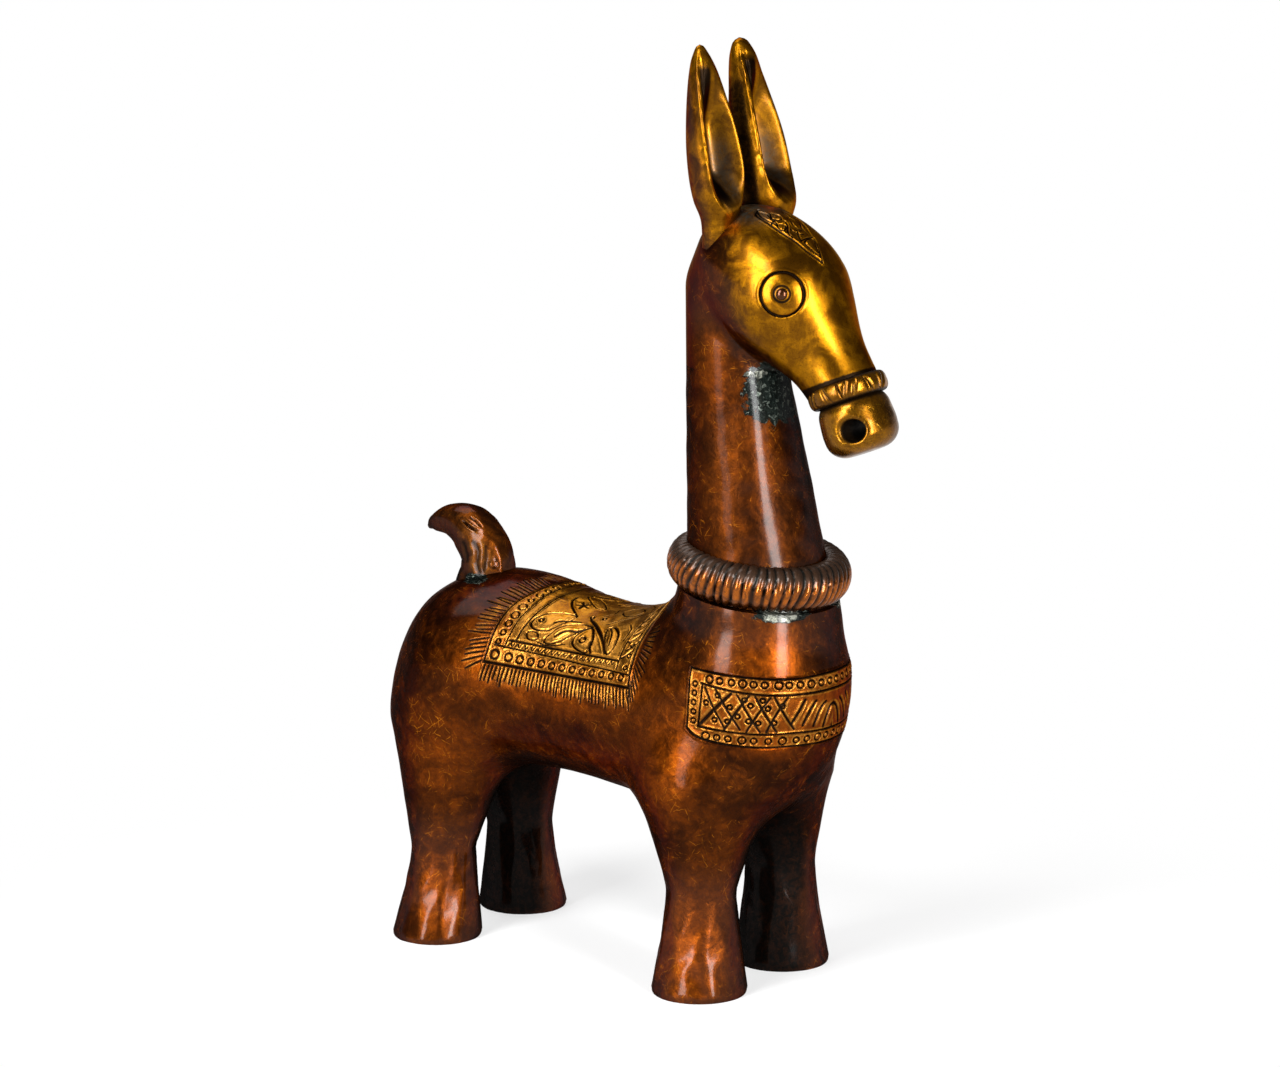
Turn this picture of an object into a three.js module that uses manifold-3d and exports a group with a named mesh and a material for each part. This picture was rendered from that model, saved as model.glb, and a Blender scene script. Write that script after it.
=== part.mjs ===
// A standing horse figurine in brass and copper, hollow cast in sections that are brazed together.
// Millimetres, +Z up, the horse faces +X and its own left side is +Y. Sizes along X are taken from
// the middle of the four feet; the finished figure is then centred over the origin on the ground.
import * as THREE from "three";
import { mergeVertices } from "three/addons/utils/BufferGeometryUtils.js";
import Module from "manifold-3d";

// Stance
const wheelbase = 115; // front feet to rear feet, centre to centre
const track = 48; // left feet to right feet, centre to centre

// Castings
const wall = 2.6; // wall of every hollow casting
const gap = 0.3; // between pieces that are brazed or plugged together
const spigotLength = 4; // how far a casting's inner rim reaches into the next one
const spigotWall = 1.3;

// Legs: round posts with a foot that flares out at the ground
const legCut = 55; // height of the braze between a leg and the trunk
const footEdge = 1.5; // rounding of the foot's lower rim
const footFlare = 1.4; // higher keeps the post slim further down
const thighFlare = 1.2; // higher keeps the post slim further up
const frontLeg = {
  foot: { x: wheelbase / 2, y: track / 2, radius: 16.8 },
  ankle: { x: wheelbase / 2, y: 22.7, z: 36, radius: 12.2 },
  hip: { x: 54.5, y: 16.8, z: 70, radius: 23.8 },
};
const rearLeg = {
  foot: { x: -wheelbase / 2 - 0.6, y: track / 2 + 0.4, radius: 16.1 },
  ankle: { x: -wheelbase / 2 + 0.4, y: 21.4, z: 32, radius: 11.8 },
  hip: { x: -56, y: 12.2, z: 77.5, radius: 25 },
};
const soleThickness = 1.6;

// Trunk: rounded masses on the middle plane that run into each other
const haunch = { x: -42, z: 96, length: 41, width: 37.5, height: 33.5 };
const barrel = { x: 15.3, z: 92.4, length: 43, width: 34.5, height: 30.6 };
const chest = { x: 57.6, z: 92.6, length: 35, width: 32.5, height: 34.5 };
const shoulder = { x: 64.5, z: 112, radius: 30.3 };
const trunkBlend = 26;
const shoulderBlend = 13;
const legBlend = 12;

// Neck seat: the flat top of the trunk, tipped forward, that carries the neck and the collar
const seat = { x: 64, z: 137, radius: 27, tilt: 7 };
const seatFlange = 3.4; // thickness of the ledge

// Neck: a tapering post that leans back
const neckFoot = { x: 65.1, radius: 24.7 };
const neckTop = { x: 51.5, z: 240, radius: 14.7 };
const neckCut = 214; // height of the braze between the neck and the head

// Collar: a fluted ring round the foot of the neck
const collar = { x: 63.6, middle: 25.1, thick: 6.4, high: 7.7 };
const flutes = 56;
const fluteDepth = 1.1;
const fluteSlant = 5; // degrees a flute turns from bottom to top

// Head: a skull and a long nose, blended into the top of the neck
const skull = { x: 67.8, z: 243.8, length: 28.3, width: 21.2, height: 23, tilt: 36.4 };
const noseRoot = { x: 78.9, z: 237.6, radius: 15.3 };
const nose = { x: 97.9, z: 212.4, radius: 12.5 };
const noseBlend = 14.5;
const throatBlend = 4.5;
const jawClear = 76; // the neck's braze ends behind this X, under the jaw

// Noseband and muzzle, round an axis that drops steeply from the end of the nose
const bit = { x: 100.7, z: 210, drop: 67 };
const noseband = { width: 7, radius: 13.7, bore: 11.2 };
const muzzle = { length: 17.9, radius: 12.6, neck: 10.9, peg: 4, pegLength: 5 };
const bitHole = { x: 110.1, z: 199.1, radius: 3.7 };

// Eyes: a disc let into the side of the head and held by a rivet
const eye = { x: 86.4, z: 243.5, radius: 7.4, thickness: 1.3, proud: 0.3 };
const rivet = { head: 2, shank: 1, height: 1.2 };
const eyeSegments = 20;
const shankSegments = 8;
const shankBore = 10; // depth of the rivet's hole under the surface
const pastSkin = 10; // how far a cutter stands out of the surface

// Ears: round horns with a long scoop in front; each station is a middle and a radius. The left ear
// is the fuller one, with a blunt tip.
const ear = { y: 11.9, turn: 8 }; // turned outwards by so many degrees
const rightEar = [
  { x: 55, z: 255, radius: 4.8 },
  { x: 55.6, z: 264, radius: 5.8 },
  { x: 55.7, z: 271, radius: 8.3 },
  { x: 55, z: 279.5, radius: 9.4 },
  { x: 53, z: 291, radius: 8.8 },
  { x: 50.5, z: 305, radius: 6.6 },
  { x: 48.6, z: 316.5, radius: 3.9 },
  { x: 47.7, z: 322.7, radius: 1.1 },
];
const leftEar = [
  { x: 56.2, z: 255, radius: 6 },
  { x: 58.4, z: 264, radius: 8.6 },
  { x: 58.2, z: 271, radius: 10.7 },
  { x: 56.4, z: 279.5, radius: 10.8 },
  { x: 54, z: 291, radius: 9.8 },
  { x: 50.8, z: 305, radius: 7.1 },
  { x: 47.9, z: 316.5, radius: 4.6 },
  { x: 46.5, z: 322.7, radius: 2 },
];
const scoop = { opening: 60, rim: 1.6, back: 2.8, from: 0.17, to: 0.93 };

// Tail: a thick hook that curls up and back from the rump
const tailStations = [
  { x: -54.6, z: 116, radius: 14.4 },
  { x: -54.2, z: 123, radius: 11.6 },
  { x: -53.7, z: 129.5, radius: 10 },
  { x: -55.1, z: 135.4, radius: 9.4 },
  { x: -61.4, z: 142, radius: 8.5 },
  { x: -69.5, z: 143.9, radius: 6 },
  { x: -77.3, z: 142.1, radius: 3.1 },
  { x: -80.2, z: 140.4, radius: 1 },
];
const tailWidth = 0.9; // its width as a share of its depth

const wasm = await Module();
wasm.setup();
const degrees = Math.PI / 180;

/** Smooth union of two distances, with a fillet about as wide as the blend. */
function blended(a, b, blend) {
  const overlap = Math.max(blend - Math.abs(a - b), 0) / blend;
  return Math.min(a, b) - (overlap * overlap * blend) / 4;
}

/** Distance from an ellipsoid on the middle plane, close to true near its surface. */
function mass({ x, z, length, width, height, tilt = 0 }) {
  const [c, s] = [Math.cos(tilt * degrees), Math.sin(tilt * degrees)];
  return (px, py, pz) => {
    const [dx, dz] = [px - x, pz - z];
    const [u, v] = [dx * c - dz * s, dx * s + dz * c];
    const near = Math.hypot(u / length, py / width, v / height);
    const slope = Math.hypot(u / length ** 2, py / width ** 2, v / height ** 2);
    return (near * (near - 1)) / Math.max(slope, 1e-6);
  };
}

/** Distance from a cone between two balls. */
function limb(a, b) {
  const [dx, dy, dz] = [b.x - a.x, (b.y ?? 0) - (a.y ?? 0), b.z - a.z];
  const span = dx * dx + dy * dy + dz * dz;
  return (x, y, z) => {
    const [ox, oy, oz] = [x - a.x, y - (a.y ?? 0), z - a.z];
    const t = Math.min(1, Math.max(0, (ox * dx + oy * dy + oz * dz) / span));
    return Math.hypot(ox - dx * t, oy - dy * t, oz - dz * t) - (a.radius + (b.radius - a.radius) * t);
  };
}

/** Middle and radius of a leg at a height: it flares from the ankle to the foot and to the hip. */
function legSection({ foot, ankle, hip }, z) {
  const low = Math.max(0, (ankle.z - z) / ankle.z) ** footFlare;
  const high = Math.max(0, (z - ankle.z) / (hip.z - ankle.z)) ** thighFlare;
  const mix = (key) => ankle[key] + (foot[key] - ankle[key]) * low + (hip[key] - ankle[key]) * high;
  const lift = Math.min(footEdge, Math.max(0, footEdge - z));
  const rounding = footEdge - Math.sqrt(footEdge ** 2 - lift ** 2);
  return { x: mix("x"), y: mix("y"), radius: mix("radius") - rounding };
}

/** Distance from the pair of legs at one end of the figure. */
function legPair(leg) {
  return (x, y, z) => {
    const level = Math.min(z, leg.hip.z);
    const section = legSection(leg, level);
    return Math.hypot(x - section.x, Math.abs(y) - section.y, z - level) - section.radius;
  };
}

const frontLegs = legPair(frontLeg);
const rearLegs = legPair(rearLeg);
const haunchMass = mass(haunch);
const barrelMass = mass(barrel);
const chestMass = mass(chest);
const shoulderCone = limb(shoulder, { ...seat, z: seat.z + 3 });

/** The whole body below the collar: trunk and legs as one skin. */
function body(x, y, z) {
  const front = blended(chestMass(x, y, z), shoulderCone(x, y, z), shoulderBlend);
  const middle = blended(front, barrelMass(x, y, z), trunkBlend);
  const trunk = blended(middle, haunchMass(x, y, z), trunkBlend);
  return blended(trunk, Math.min(frontLegs(x, y, z), rearLegs(x, y, z)), legBlend);
}

/** Middle and radius of the neck at a height. */
function neckSection(z) {
  const t = (neckTop.z - z) / (neckTop.z - seat.z);
  return {
    x: neckTop.x + (neckFoot.x - neckTop.x) * t,
    radius: neckTop.radius + (neckFoot.radius - neckTop.radius) * t,
  };
}

function neck(x, y, z) {
  const level = Math.min(z, neckTop.z);
  const section = neckSection(level);
  return Math.hypot(x - section.x, y, z - level) - section.radius;
}

const skullMass = mass(skull);
const noseLimb = limb(noseRoot, nose);

/** The head on top of the neck as one skin. */
function head(x, y, z) {
  const face = blended(skullMass(x, y, z), noseLimb(x, y, z), noseBlend);
  return blended(face, neck(x, y, z), throatBlend);
}

/** A closed mesh where a field is zero in a room, cut off a cell inside the room, with points evened out. */
function skin(open, [low, high], cell) {
  const [lowest, highest] = [low.map((v) => v + cell), high.map((v) => v - cell)];
  const field = (...p) => Math.max(open(...p), ...p.map((v, n) => Math.max(lowest[n] - v, v - highest[n])));
  const counts = [0, 1, 2].map((i) => Math.ceil((high[i] - low[i]) / cell));
  const [nx, ny, nz] = counts.map((n) => n + 1);
  const at = (i, j, k) => [low[0] + i * cell, low[1] + j * cell, low[2] + k * cell];
  const index = (i, j, k) => i + nx * (j + ny * k);
  const values = new Float64Array(nx * ny * nz);
  for (let k = 0; k < nz; k += 1)
    for (let j = 0; j < ny; j += 1)
      for (let i = 0; i < nx; i += 1) values[index(i, j, k)] = field(...at(i, j, k));
  const steps = [
    [1, 0, 0],
    [0, 1, 0],
    [0, 0, 1],
  ];
  const points = [];
  const cells = new Map();
  for (let k = 0; k < nz - 1; k += 1)
    for (let j = 0; j < ny - 1; j += 1)
      for (let i = 0; i < nx - 1; i += 1) {
        const sum = [0, 0, 0];
        let crossings = 0;
        for (let corner = 0; corner < 8; corner += 1) {
          const a = [i + (corner & 1), j + ((corner >> 1) & 1), k + ((corner >> 2) & 1)];
          for (let axis = 0; axis < 3; axis += 1) {
            if ((corner >> axis) & 1) continue;
            const b = a.map((v, n) => v + steps[axis][n]);
            const [va, vb] = [values[index(...a)], values[index(...b)]];
            if (va < 0 === vb < 0) continue;
            const t = va / (va - vb);
            const [pa, pb] = [at(...a), at(...b)];
            for (let n = 0; n < 3; n += 1) sum[n] += pa[n] + (pb[n] - pa[n]) * t;
            crossings += 1;
          }
        }
        if (!crossings) continue;
        cells.set(index(i, j, k), points.length);
        points.push(sum.map((v) => v / crossings));
      }
  const quads = [];
  for (let k = 1; k < nz - 1; k += 1)
    for (let j = 1; j < ny - 1; j += 1)
      for (let i = 1; i < nx - 1; i += 1)
        for (let axis = 0; axis < 3; axis += 1) {
          const here = [i, j, k];
          const next = here.map((v, n) => v + steps[axis][n]);
          const [va, vb] = [values[index(...here)], values[index(...next)]];
          if (va < 0 === vb < 0) continue;
          const [p, q] = [steps[(axis + 1) % 3], steps[(axis + 2) % 3]];
          const ring = [
            [0, 0],
            [1, 0],
            [1, 1],
            [0, 1],
          ].map(([s, t]) => cells.get(index(...here.map((v, n) => v - s * p[n] - t * q[n]))));
          quads.push(va < 0 ? ring : ring.reverse());
        }
  settle(points, quads, field);
  const faces = quads.flatMap(([a, b, c, d]) =>
    distance(points[a], points[c]) < distance(points[b], points[d])
      ? [a, b, c, a, c, d]
      : [a, b, d, b, c, d],
  );
  return solid(points, faces);
}

function distance(a, b) {
  return Math.hypot(a[0] - b[0], a[1] - b[1], a[2] - b[2]);
}

/** Move a point straight to the surface where a field is zero. */
function landed(point, field) {
  const h = 0.01;
  let [x, y, z] = point;
  for (let round = 0; round < 4; round += 1) {
    const value = field(x, y, z);
    const gx = (field(x + h, y, z) - value) / h;
    const gy = (field(x, y + h, z) - value) / h;
    const gz = (field(x, y, z + h) - value) / h;
    const slope = gx * gx + gy * gy + gz * gz || 1;
    x -= (value * gx) / slope;
    y -= (value * gy) / slope;
    z -= (value * gz) / slope;
  }
  return [x, y, z];
}

/** Even out a mesh along its surface, by moving each point to the middle of its neighbours. */
function settle(points, quads, field) {
  const neighbours = points.map(() => new Set());
  for (const quad of quads)
    quad.forEach((v, n) => {
      neighbours[v].add(quad[(n + 1) % 4]);
      neighbours[v].add(quad[(n + 3) % 4]);
    });
  for (let round = 0; round < 4; round += 1) {
    const moved = points.map((point, v) => {
      const middle = [0, 0, 0];
      const share = 1 / neighbours[v].size;
      for (const w of neighbours[v])
        for (let n = 0; n < 3; n += 1) middle[n] += points[w][n] * share;
      return landed(point.map((value, n) => value + (middle[n] - value) * 0.6), field);
    });
    moved.forEach((point, v) => (points[v] = point));
  }
}

/** A manifold solid from points and triangles. */
function solid(points, faces) {
  const mesh = new wasm.Mesh({
    numProp: 3,
    vertProperties: Float32Array.from(points.flat()),
    triVerts: Uint32Array.from(faces),
  });
  return new wasm.Manifold(mesh);
}

/** A manifold solid from a three.js geometry, moved by a matrix if there is one. */
function solidOf(geometry, matrix) {
  const plain = geometry.clone();
  if (matrix) plain.applyMatrix4(matrix);
  plain.deleteAttribute("normal");
  plain.deleteAttribute("uv");
  const merged = mergeVertices(plain, 1e-4);
  const position = merged.getAttribute("position");
  return new wasm.Manifold(
    new wasm.Mesh({
      numProp: 3,
      vertProperties: Float32Array.from(position.array),
      triVerts: Uint32Array.from(merged.index.array),
    }),
  );
}

/** A solid through rings of points; the ends are flat lids, or the last ring meets the first. */
function loft(rings, closed = false) {
  const count = rings[0].length;
  const points = rings.flat();
  const faces = [];
  const bands = closed ? rings.length : rings.length - 1;
  for (let band = 0; band < bands; band += 1) {
    const [a, b] = [band * count, ((band + 1) % rings.length) * count];
    for (let n = 0; n < count; n += 1) {
      const m = (n + 1) % count;
      faces.push(a + n, a + m, b + m, a + n, b + m, b + n);
    }
  }
  if (!closed)
    [0, rings.length - 1].forEach((ring, end) => {
      const middle = [0, 1, 2].map((i) => rings[ring].reduce((sum, p) => sum + p[i] / count, 0));
      const hub = points.push(middle) - 1;
      for (let n = 0; n < count; n += 1) {
        const [a, b] = [ring * count + n, ring * count + ((n + 1) % count)];
        faces.push(hub, ...(end ? [a, b] : [b, a]));
      }
    });
  return solid(points, faces);
}

/** A box as a solid, from its lowest to its highest corner. */
function block([x0, y0, z0], [x1, y1, z1]) {
  const geometry = new THREE.BoxGeometry(x1 - x0, y1 - y0, z1 - z0);
  geometry.translate((x0 + x1) / 2, (y0 + y1) / 2, (z0 + z1) / 2);
  return solidOf(geometry);
}

/** A ring of points where a field is zero, looked for outwards from a middle, in a plane. */
function ringOn(field, middle, across, up, count) {
  return Array.from({ length: count }, (_, n) => {
    const angle = (2 * Math.PI * (n + 0.5)) / count;
    const way = [0, 1, 2].map((i) => across[i] * Math.cos(angle) + up[i] * Math.sin(angle));
    const at = (reach) => middle.map((v, i) => v + way[i] * reach);
    let [near, far] = [0, 0.5];
    while (field(...at(far)) < 0) [near, far] = [far, far + 0.5];
    for (let step = 0; step < 30; step += 1) {
      const reach = (near + far) / 2;
      if (field(...at(reach)) < 0) near = reach;
      else far = reach;
    }
    return at(near);
  });
}

const huge = 400;
const outline = 20; // points round a leg or the neck
const trunkCell = 8.8; // size of the cells that the skin of the trunk is found in
const headCell = 6;

/** The frame of the neck seat: its X runs down to the front, its Z is the seat's normal. */
const seatFrame = new THREE.Matrix4().makeRotationY(seat.tilt * degrees).setPosition(seat.x, 0, seat.z);

/** The half space above the neck seat, moved up by a rise. */
function aboveSeat(rise = 0) {
  const geometry = new THREE.BoxGeometry(huge, huge, huge);
  geometry.translate(0, 0, huge / 2 + rise);
  return solidOf(geometry, seatFrame);
}

/** A ring of a casting's skin, or inside it by an inset, level or tilted like the neck seat. */
function legRing(leg, z, inset) {
  const { x, y } = legSection(leg, z);
  const ownSide = (px, py, pz) => Math.max(body(px, py, pz), gap / 2 - py) + inset;
  return ringOn(ownSide, [x, y, z], [1, 0, 0], [0, 1, 0], outline);
}

function neckRing(z, inset) {
  const tilt = seat.tilt * degrees * Math.min(1, Math.max(0, (neckCut - z) / (neckCut - seat.z)));
  const middle = [neckSection(z).x, 0, z - (neckSection(z).x - seat.x) * Math.tan(tilt)];
  const across = [Math.cos(tilt), 0, -Math.sin(tilt)];
  return ringOn((px, py, pz) => neck(px, py, pz) + inset, middle, across, [0, 1, 0], outline);
}

/** The trunk's left half: a hollow shell that is open at the legs and at the neck. */
function trunkHalf() {
  const room = [
    [-102, -20, legCut - 20],
    [108, 54, seat.z + 20],
  ];
  const outer = skin(body, room, trunkCell);
  const hollow = skin((x, y, z) => body(x, y, z) + wall, room, trunkCell + 3);
  const left = block([-huge, 0, legCut], [huge, huge, huge]);
  const socketDepth = spigotLength + gap;
  const neckSocket = loft([neckRing(seat.z - seatFlange - 4, wall), neckRing(seat.z + 4, wall)]);
  const legSockets = [frontLeg, rearLeg].map((leg) =>
    loft([-3, 0, socketDepth].map((rise) => legRing(leg, legCut + rise, wall))),
  );
  const cavity = hollow.subtract(aboveSeat(-seatFlange));
  const casting = outer.subtract(cavity).intersect(left).subtract(aboveSeat());
  return [neckSocket, ...legSockets].reduce((shell, socket) => shell.subtract(socket), casting);
}

/** A leg for the left side: a hollow post with a spigot that plugs into the trunk. */
function legShell(leg) {
  const inset = wall + gap;
  const post = [0.25, 0.5, 0.75, 1].map((t) => [footEdge + (leg.ankle.z - footEdge) * t, 0]);
  const stations = [
    [0, 0],
    [footEdge / 3, 0],
    [footEdge, 0],
    ...post,
    [(leg.ankle.z + legCut) / 2, 0],
    [legCut, 0],
    [legCut, inset],
    [legCut + spigotLength, inset],
    [legCut + spigotLength, inset + spigotWall],
    [legCut - spigotLength, inset + spigotWall],
    [legCut - 3 * spigotLength, wall],
    [leg.ankle.z / 2, wall],
    [soleThickness + gap, wall],
    [0, wall],
  ];
  return loft(stations.map(([z, depth]) => legRing(leg, z, depth)), true);
}

/** The plate that closes the foot of a leg where the core was taken out. */
function solePlate(leg) {
  const rings = [0, soleThickness].map((z) => {
    const { x, y } = leg.foot;
    const field = (px, py, pz) => body(px, py, pz) + wall + footEdge + gap;
    return ringOn(field, [x, y, z + footEdge], [1, 0, 0], [0, 1, 0], outline).map((p) => [p[0], p[1], z]);
  });
  return loft(rings);
}

/** The neck: a hollow post with a spigot at each end. */
function neckShell() {
  const foot = seat.z + gap;
  const inset = wall + gap;
  const stations = [
    [foot, 0],
    ...[0.25, 0.5, 0.75].map((t) => [foot + (neckCut - foot) * t, 0]),
    [neckCut, 0],
    [neckCut, inset],
    [neckCut + spigotLength, inset],
    [neckCut + spigotLength, inset + spigotWall],
    [neckCut - spigotLength, inset + spigotWall],
    [neckCut - 3 * spigotLength, wall],
    [foot + 3 * spigotLength, wall],
    [foot + spigotLength, inset + spigotWall],
    [seat.z - seatFlange, inset + spigotWall],
    [seat.z - seatFlange, inset],
    [foot, inset],
  ];
  return loft(stations.map(([z, depth]) => neckRing(z, depth)), true);
}

/** The collar: a thick ring with a slanted flute pressed in between each pair of ridges. */
function collarRing() {
  const columns = flutes * 2;
  const arc = [-58, -20, 14, 46, 80];
  const bore = (angle, rise) => {
    const way = [Math.cos(angle), Math.sin(angle)];
    const from = new THREE.Vector3(collar.x - seat.x, 0, rise).applyMatrix4(seatFrame);
    const along = new THREE.Vector3(way[0], way[1], 0).transformDirection(seatFrame);
    let [near, far] = [0, 2 * collar.middle];
    for (let step = 0; step < 30; step += 1) {
      const reach = (near + far) / 2;
      const at = from.clone().addScaledVector(along, reach);
      if (neck(at.x, at.y, at.z) < gap) near = reach;
      else far = reach;
    }
    return near;
  };
  const rings = Array.from({ length: columns }, (_, n) => {
    const groove = n % 2;
    const shape = arc.map((degree) => {
      const [c, s] = [Math.cos(degree * degrees), Math.sin(degree * degrees)];
      const depth = groove * fluteDepth * Math.max(0.35, c);
      const radius = collar.middle + (collar.thick - depth) * c;
      const rise = collar.high + (collar.high - depth) * s + gap;
      const slant = ((rise / collar.high - 1) / 2) * fluteSlant * degrees;
      return { radius, rise: Math.max(gap, rise), slant };
    });
    const angle = (2 * Math.PI * n) / columns;
    const top = shape.at(-1).rise;
    const section = [
      { radius: bore(angle + shape[0].slant, gap), rise: gap, slant: shape[0].slant },
      { radius: shape[0].radius - 1, rise: gap, slant: shape[0].slant },
      ...shape,
      { radius: bore(angle + shape.at(-1).slant, top), rise: top, slant: shape.at(-1).slant },
    ];
    return section.map(({ radius, rise, slant }) => {
      const [c, s] = [Math.cos(angle + slant), Math.sin(angle + slant)];
      const point = new THREE.Vector3(collar.x - seat.x + radius * c, radius * s, rise);
      return point.applyMatrix4(seatFrame).toArray();
    });
  });
  return loft(rings.reverse(), true);
}

/** A round solid or ring about +Z, turned into a frame. */
function turned(profile, segments, frame, closed = false) {
  const points = profile.map(([radius, height]) => new THREE.Vector2(radius, height));
  if (closed) points.push(points[0].clone());
  const geometry = new THREE.LatheGeometry(points, segments);
  geometry.rotateX(Math.PI / 2);
  return solidOf(geometry, frame);
}

/** The frame at the end of the nose: its Z runs down through the muzzle. */
const bitFrame = new THREE.Matrix4()
  .makeRotationY((90 + bit.drop) * degrees)
  .setPosition(bit.x, 0, bit.z);

/** The outside of the head, or a skin inside or outside it, down to a plane across the noseband. */
function headSkin(inset, noseEnd, cell) {
  const room = [
    [24, -36, neckCut - 20],
    [128, 36, 284],
  ];
  const beyondNose = new THREE.BoxGeometry(huge, huge, huge);
  beyondNose.translate(0, 0, huge / 2 + noseEnd);
  return skin((x, y, z) => head(x, y, z) + inset, room, cell).subtract(solidOf(beyondNose, bitFrame));
}

/** Everything below the head's braze with the neck, as far forward as the jaw. */
const belowHead = block([-huge, -huge, -huge], [jawClear, huge, neckCut]);

/** The head: a hollow skull and nose, open at the neck, its nose turned down for the noseband. */
function headShell(outer, eyes) {
  const half = noseband.width / 2;
  const shoulder = [
    [noseband.bore - gap, -half - gap],
    [huge / 8, -half - gap],
    [huge / 8, half],
    [noseband.bore - gap, half],
  ];
  const pegHole = [
    [0, -muzzle.pegLength - 6],
    [muzzle.peg + gap, -muzzle.pegLength - 6],
    [muzzle.peg + gap, half],
    [0, half],
  ];
  const neckSocket = loft([neckCut - 3, neckCut, neckCut + spigotLength + gap].map((z) => neckRing(z, wall)));
  const casting = outer
    .subtract(turned(shoulder, outline, bitFrame, true))
    .subtract(turned(pegHole, 12, bitFrame))
    .subtract(belowHead)
    .subtract(headSkin(wall, -half - wall, headCell + 3).add(neckSocket));
  return eyes.reduce((shell, seatOfEye) => shell.subtract(seatOfEye), casting);
}

/** The frame of an eye: its Z stands out of the head's side, on the left or the right. */
function eyeFrame(side) {
  const [x, y, z] = [eye.x, ...landedAcross(eye.x, eye.z, side)];
  const h = 0.01;
  const normal = new THREE.Vector3(
    head(x + h, y, z) - head(x - h, y, z),
    head(x, y + h, z) - head(x, y - h, z),
    head(x, y, z + h) - head(x, y, z - h),
  ).normalize();
  const turn = new THREE.Quaternion().setFromUnitVectors(new THREE.Vector3(0, 0, 1), normal);
  return new THREE.Matrix4().compose(new THREE.Vector3(x, y, z), turn, new THREE.Vector3(1, 1, 1));
}

/** The Y where the head's side is, level with an eye. */
function landedAcross(x, z, side) {
  let [near, far] = [0, 40];
  for (let step = 0; step < 40; step += 1) {
    const reach = (near + far) / 2;
    if (head(x, side * reach, z) < 0) near = reach;
    else far = reach;
  }
  return [side * near, z];
}

/** A round plug along +Z of a frame. */
function plug(radius, low, high, segments, frame) {
  return turned(
    [
      [0, low],
      [radius, low],
      [radius, high],
      [0, high],
    ],
    segments,
    frame,
  );
}

/** A rivet with a domed head and a shank through the eye disc into the head. */
function eyeRivet(frame) {
  const face = eye.proud + gap;
  const dome = [0.25, 0.55, 0.8].map((t) => [
    rivet.head * Math.cos((t * Math.PI) / 2),
    face + rivet.height * Math.sin((t * Math.PI) / 2),
  ]);
  const profile = [
    [0, -eye.thickness - 1.2],
    [rivet.shank, -eye.thickness - 1.2],
    [rivet.shank, face],
    [rivet.head, face],
    ...dome,
    [0, face + rivet.height],
  ];
  return turned(profile, 14, frame);
}

/** The noseband: a half-round ring over the joint of the nose and the muzzle. */
function nosebandRing() {
  const half = noseband.width / 2;
  const bulge = noseband.radius - noseband.bore;
  const round = [-1, -0.75, -0.3, 0.3, 0.75, 1].map((t) => [
    noseband.bore + bulge * (1 - 0.55 * Math.abs(t) ** 3),
    half * t,
  ]);
  return turned([[noseband.bore, -half], ...round, [noseband.bore, half]], 28, bitFrame, true);
}

/** The muzzle: a blunt barrel with a peg into the nose and a bit hole across it. */
function muzzleBlock() {
  const start = gap;
  const underBand = noseband.width / 2 + gap;
  const end = underBand + muzzle.length;
  const along = (t) => underBand + (end - underBand) * t;
  const profile = [
    [0, -muzzle.pegLength],
    [muzzle.peg, -muzzle.pegLength],
    [muzzle.peg, start],
    [muzzle.neck, start],
    [muzzle.neck, underBand],
    [muzzle.radius - 1, along(0.03)],
    [muzzle.radius, along(0.25)],
    [muzzle.radius + 0.2, along(0.5)],
    [muzzle.radius - 0.7, along(0.72)],
    [muzzle.radius - 3, along(0.9)],
    [muzzle.radius - 6.5, along(0.98)],
    [0, end],
  ];
  const hole = new THREE.CylinderGeometry(bitHole.radius, bitHole.radius, 4 * muzzle.radius, 16);
  hole.translate(bitHole.x, 0, bitHole.z);
  return turned(profile, 24, bitFrame).subtract(solidOf(hole));
}

/** Rings along stations on a middle line beside the middle plane, each drawn by a section function. */
function sweep(stations, side, rings, section) {
  const points = stations.map(({ x, z }) => new THREE.Vector3(x, side, z));
  const path = new THREE.CatmullRomCurve3(points, false, "centripetal");
  const girth = new THREE.CatmullRomCurve3(
    stations.map(({ radius }, n) => new THREE.Vector3(n, radius, 0)),
    false,
    "centripetal",
  );
  return Array.from({ length: rings }, (_, n) => {
    const t = n / (rings - 1);
    const middle = path.getPoint(t);
    const tangent = path.getTangent(t);
    return section(t, middle, tangent, girth.getPoint(t).y);
  });
}

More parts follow.
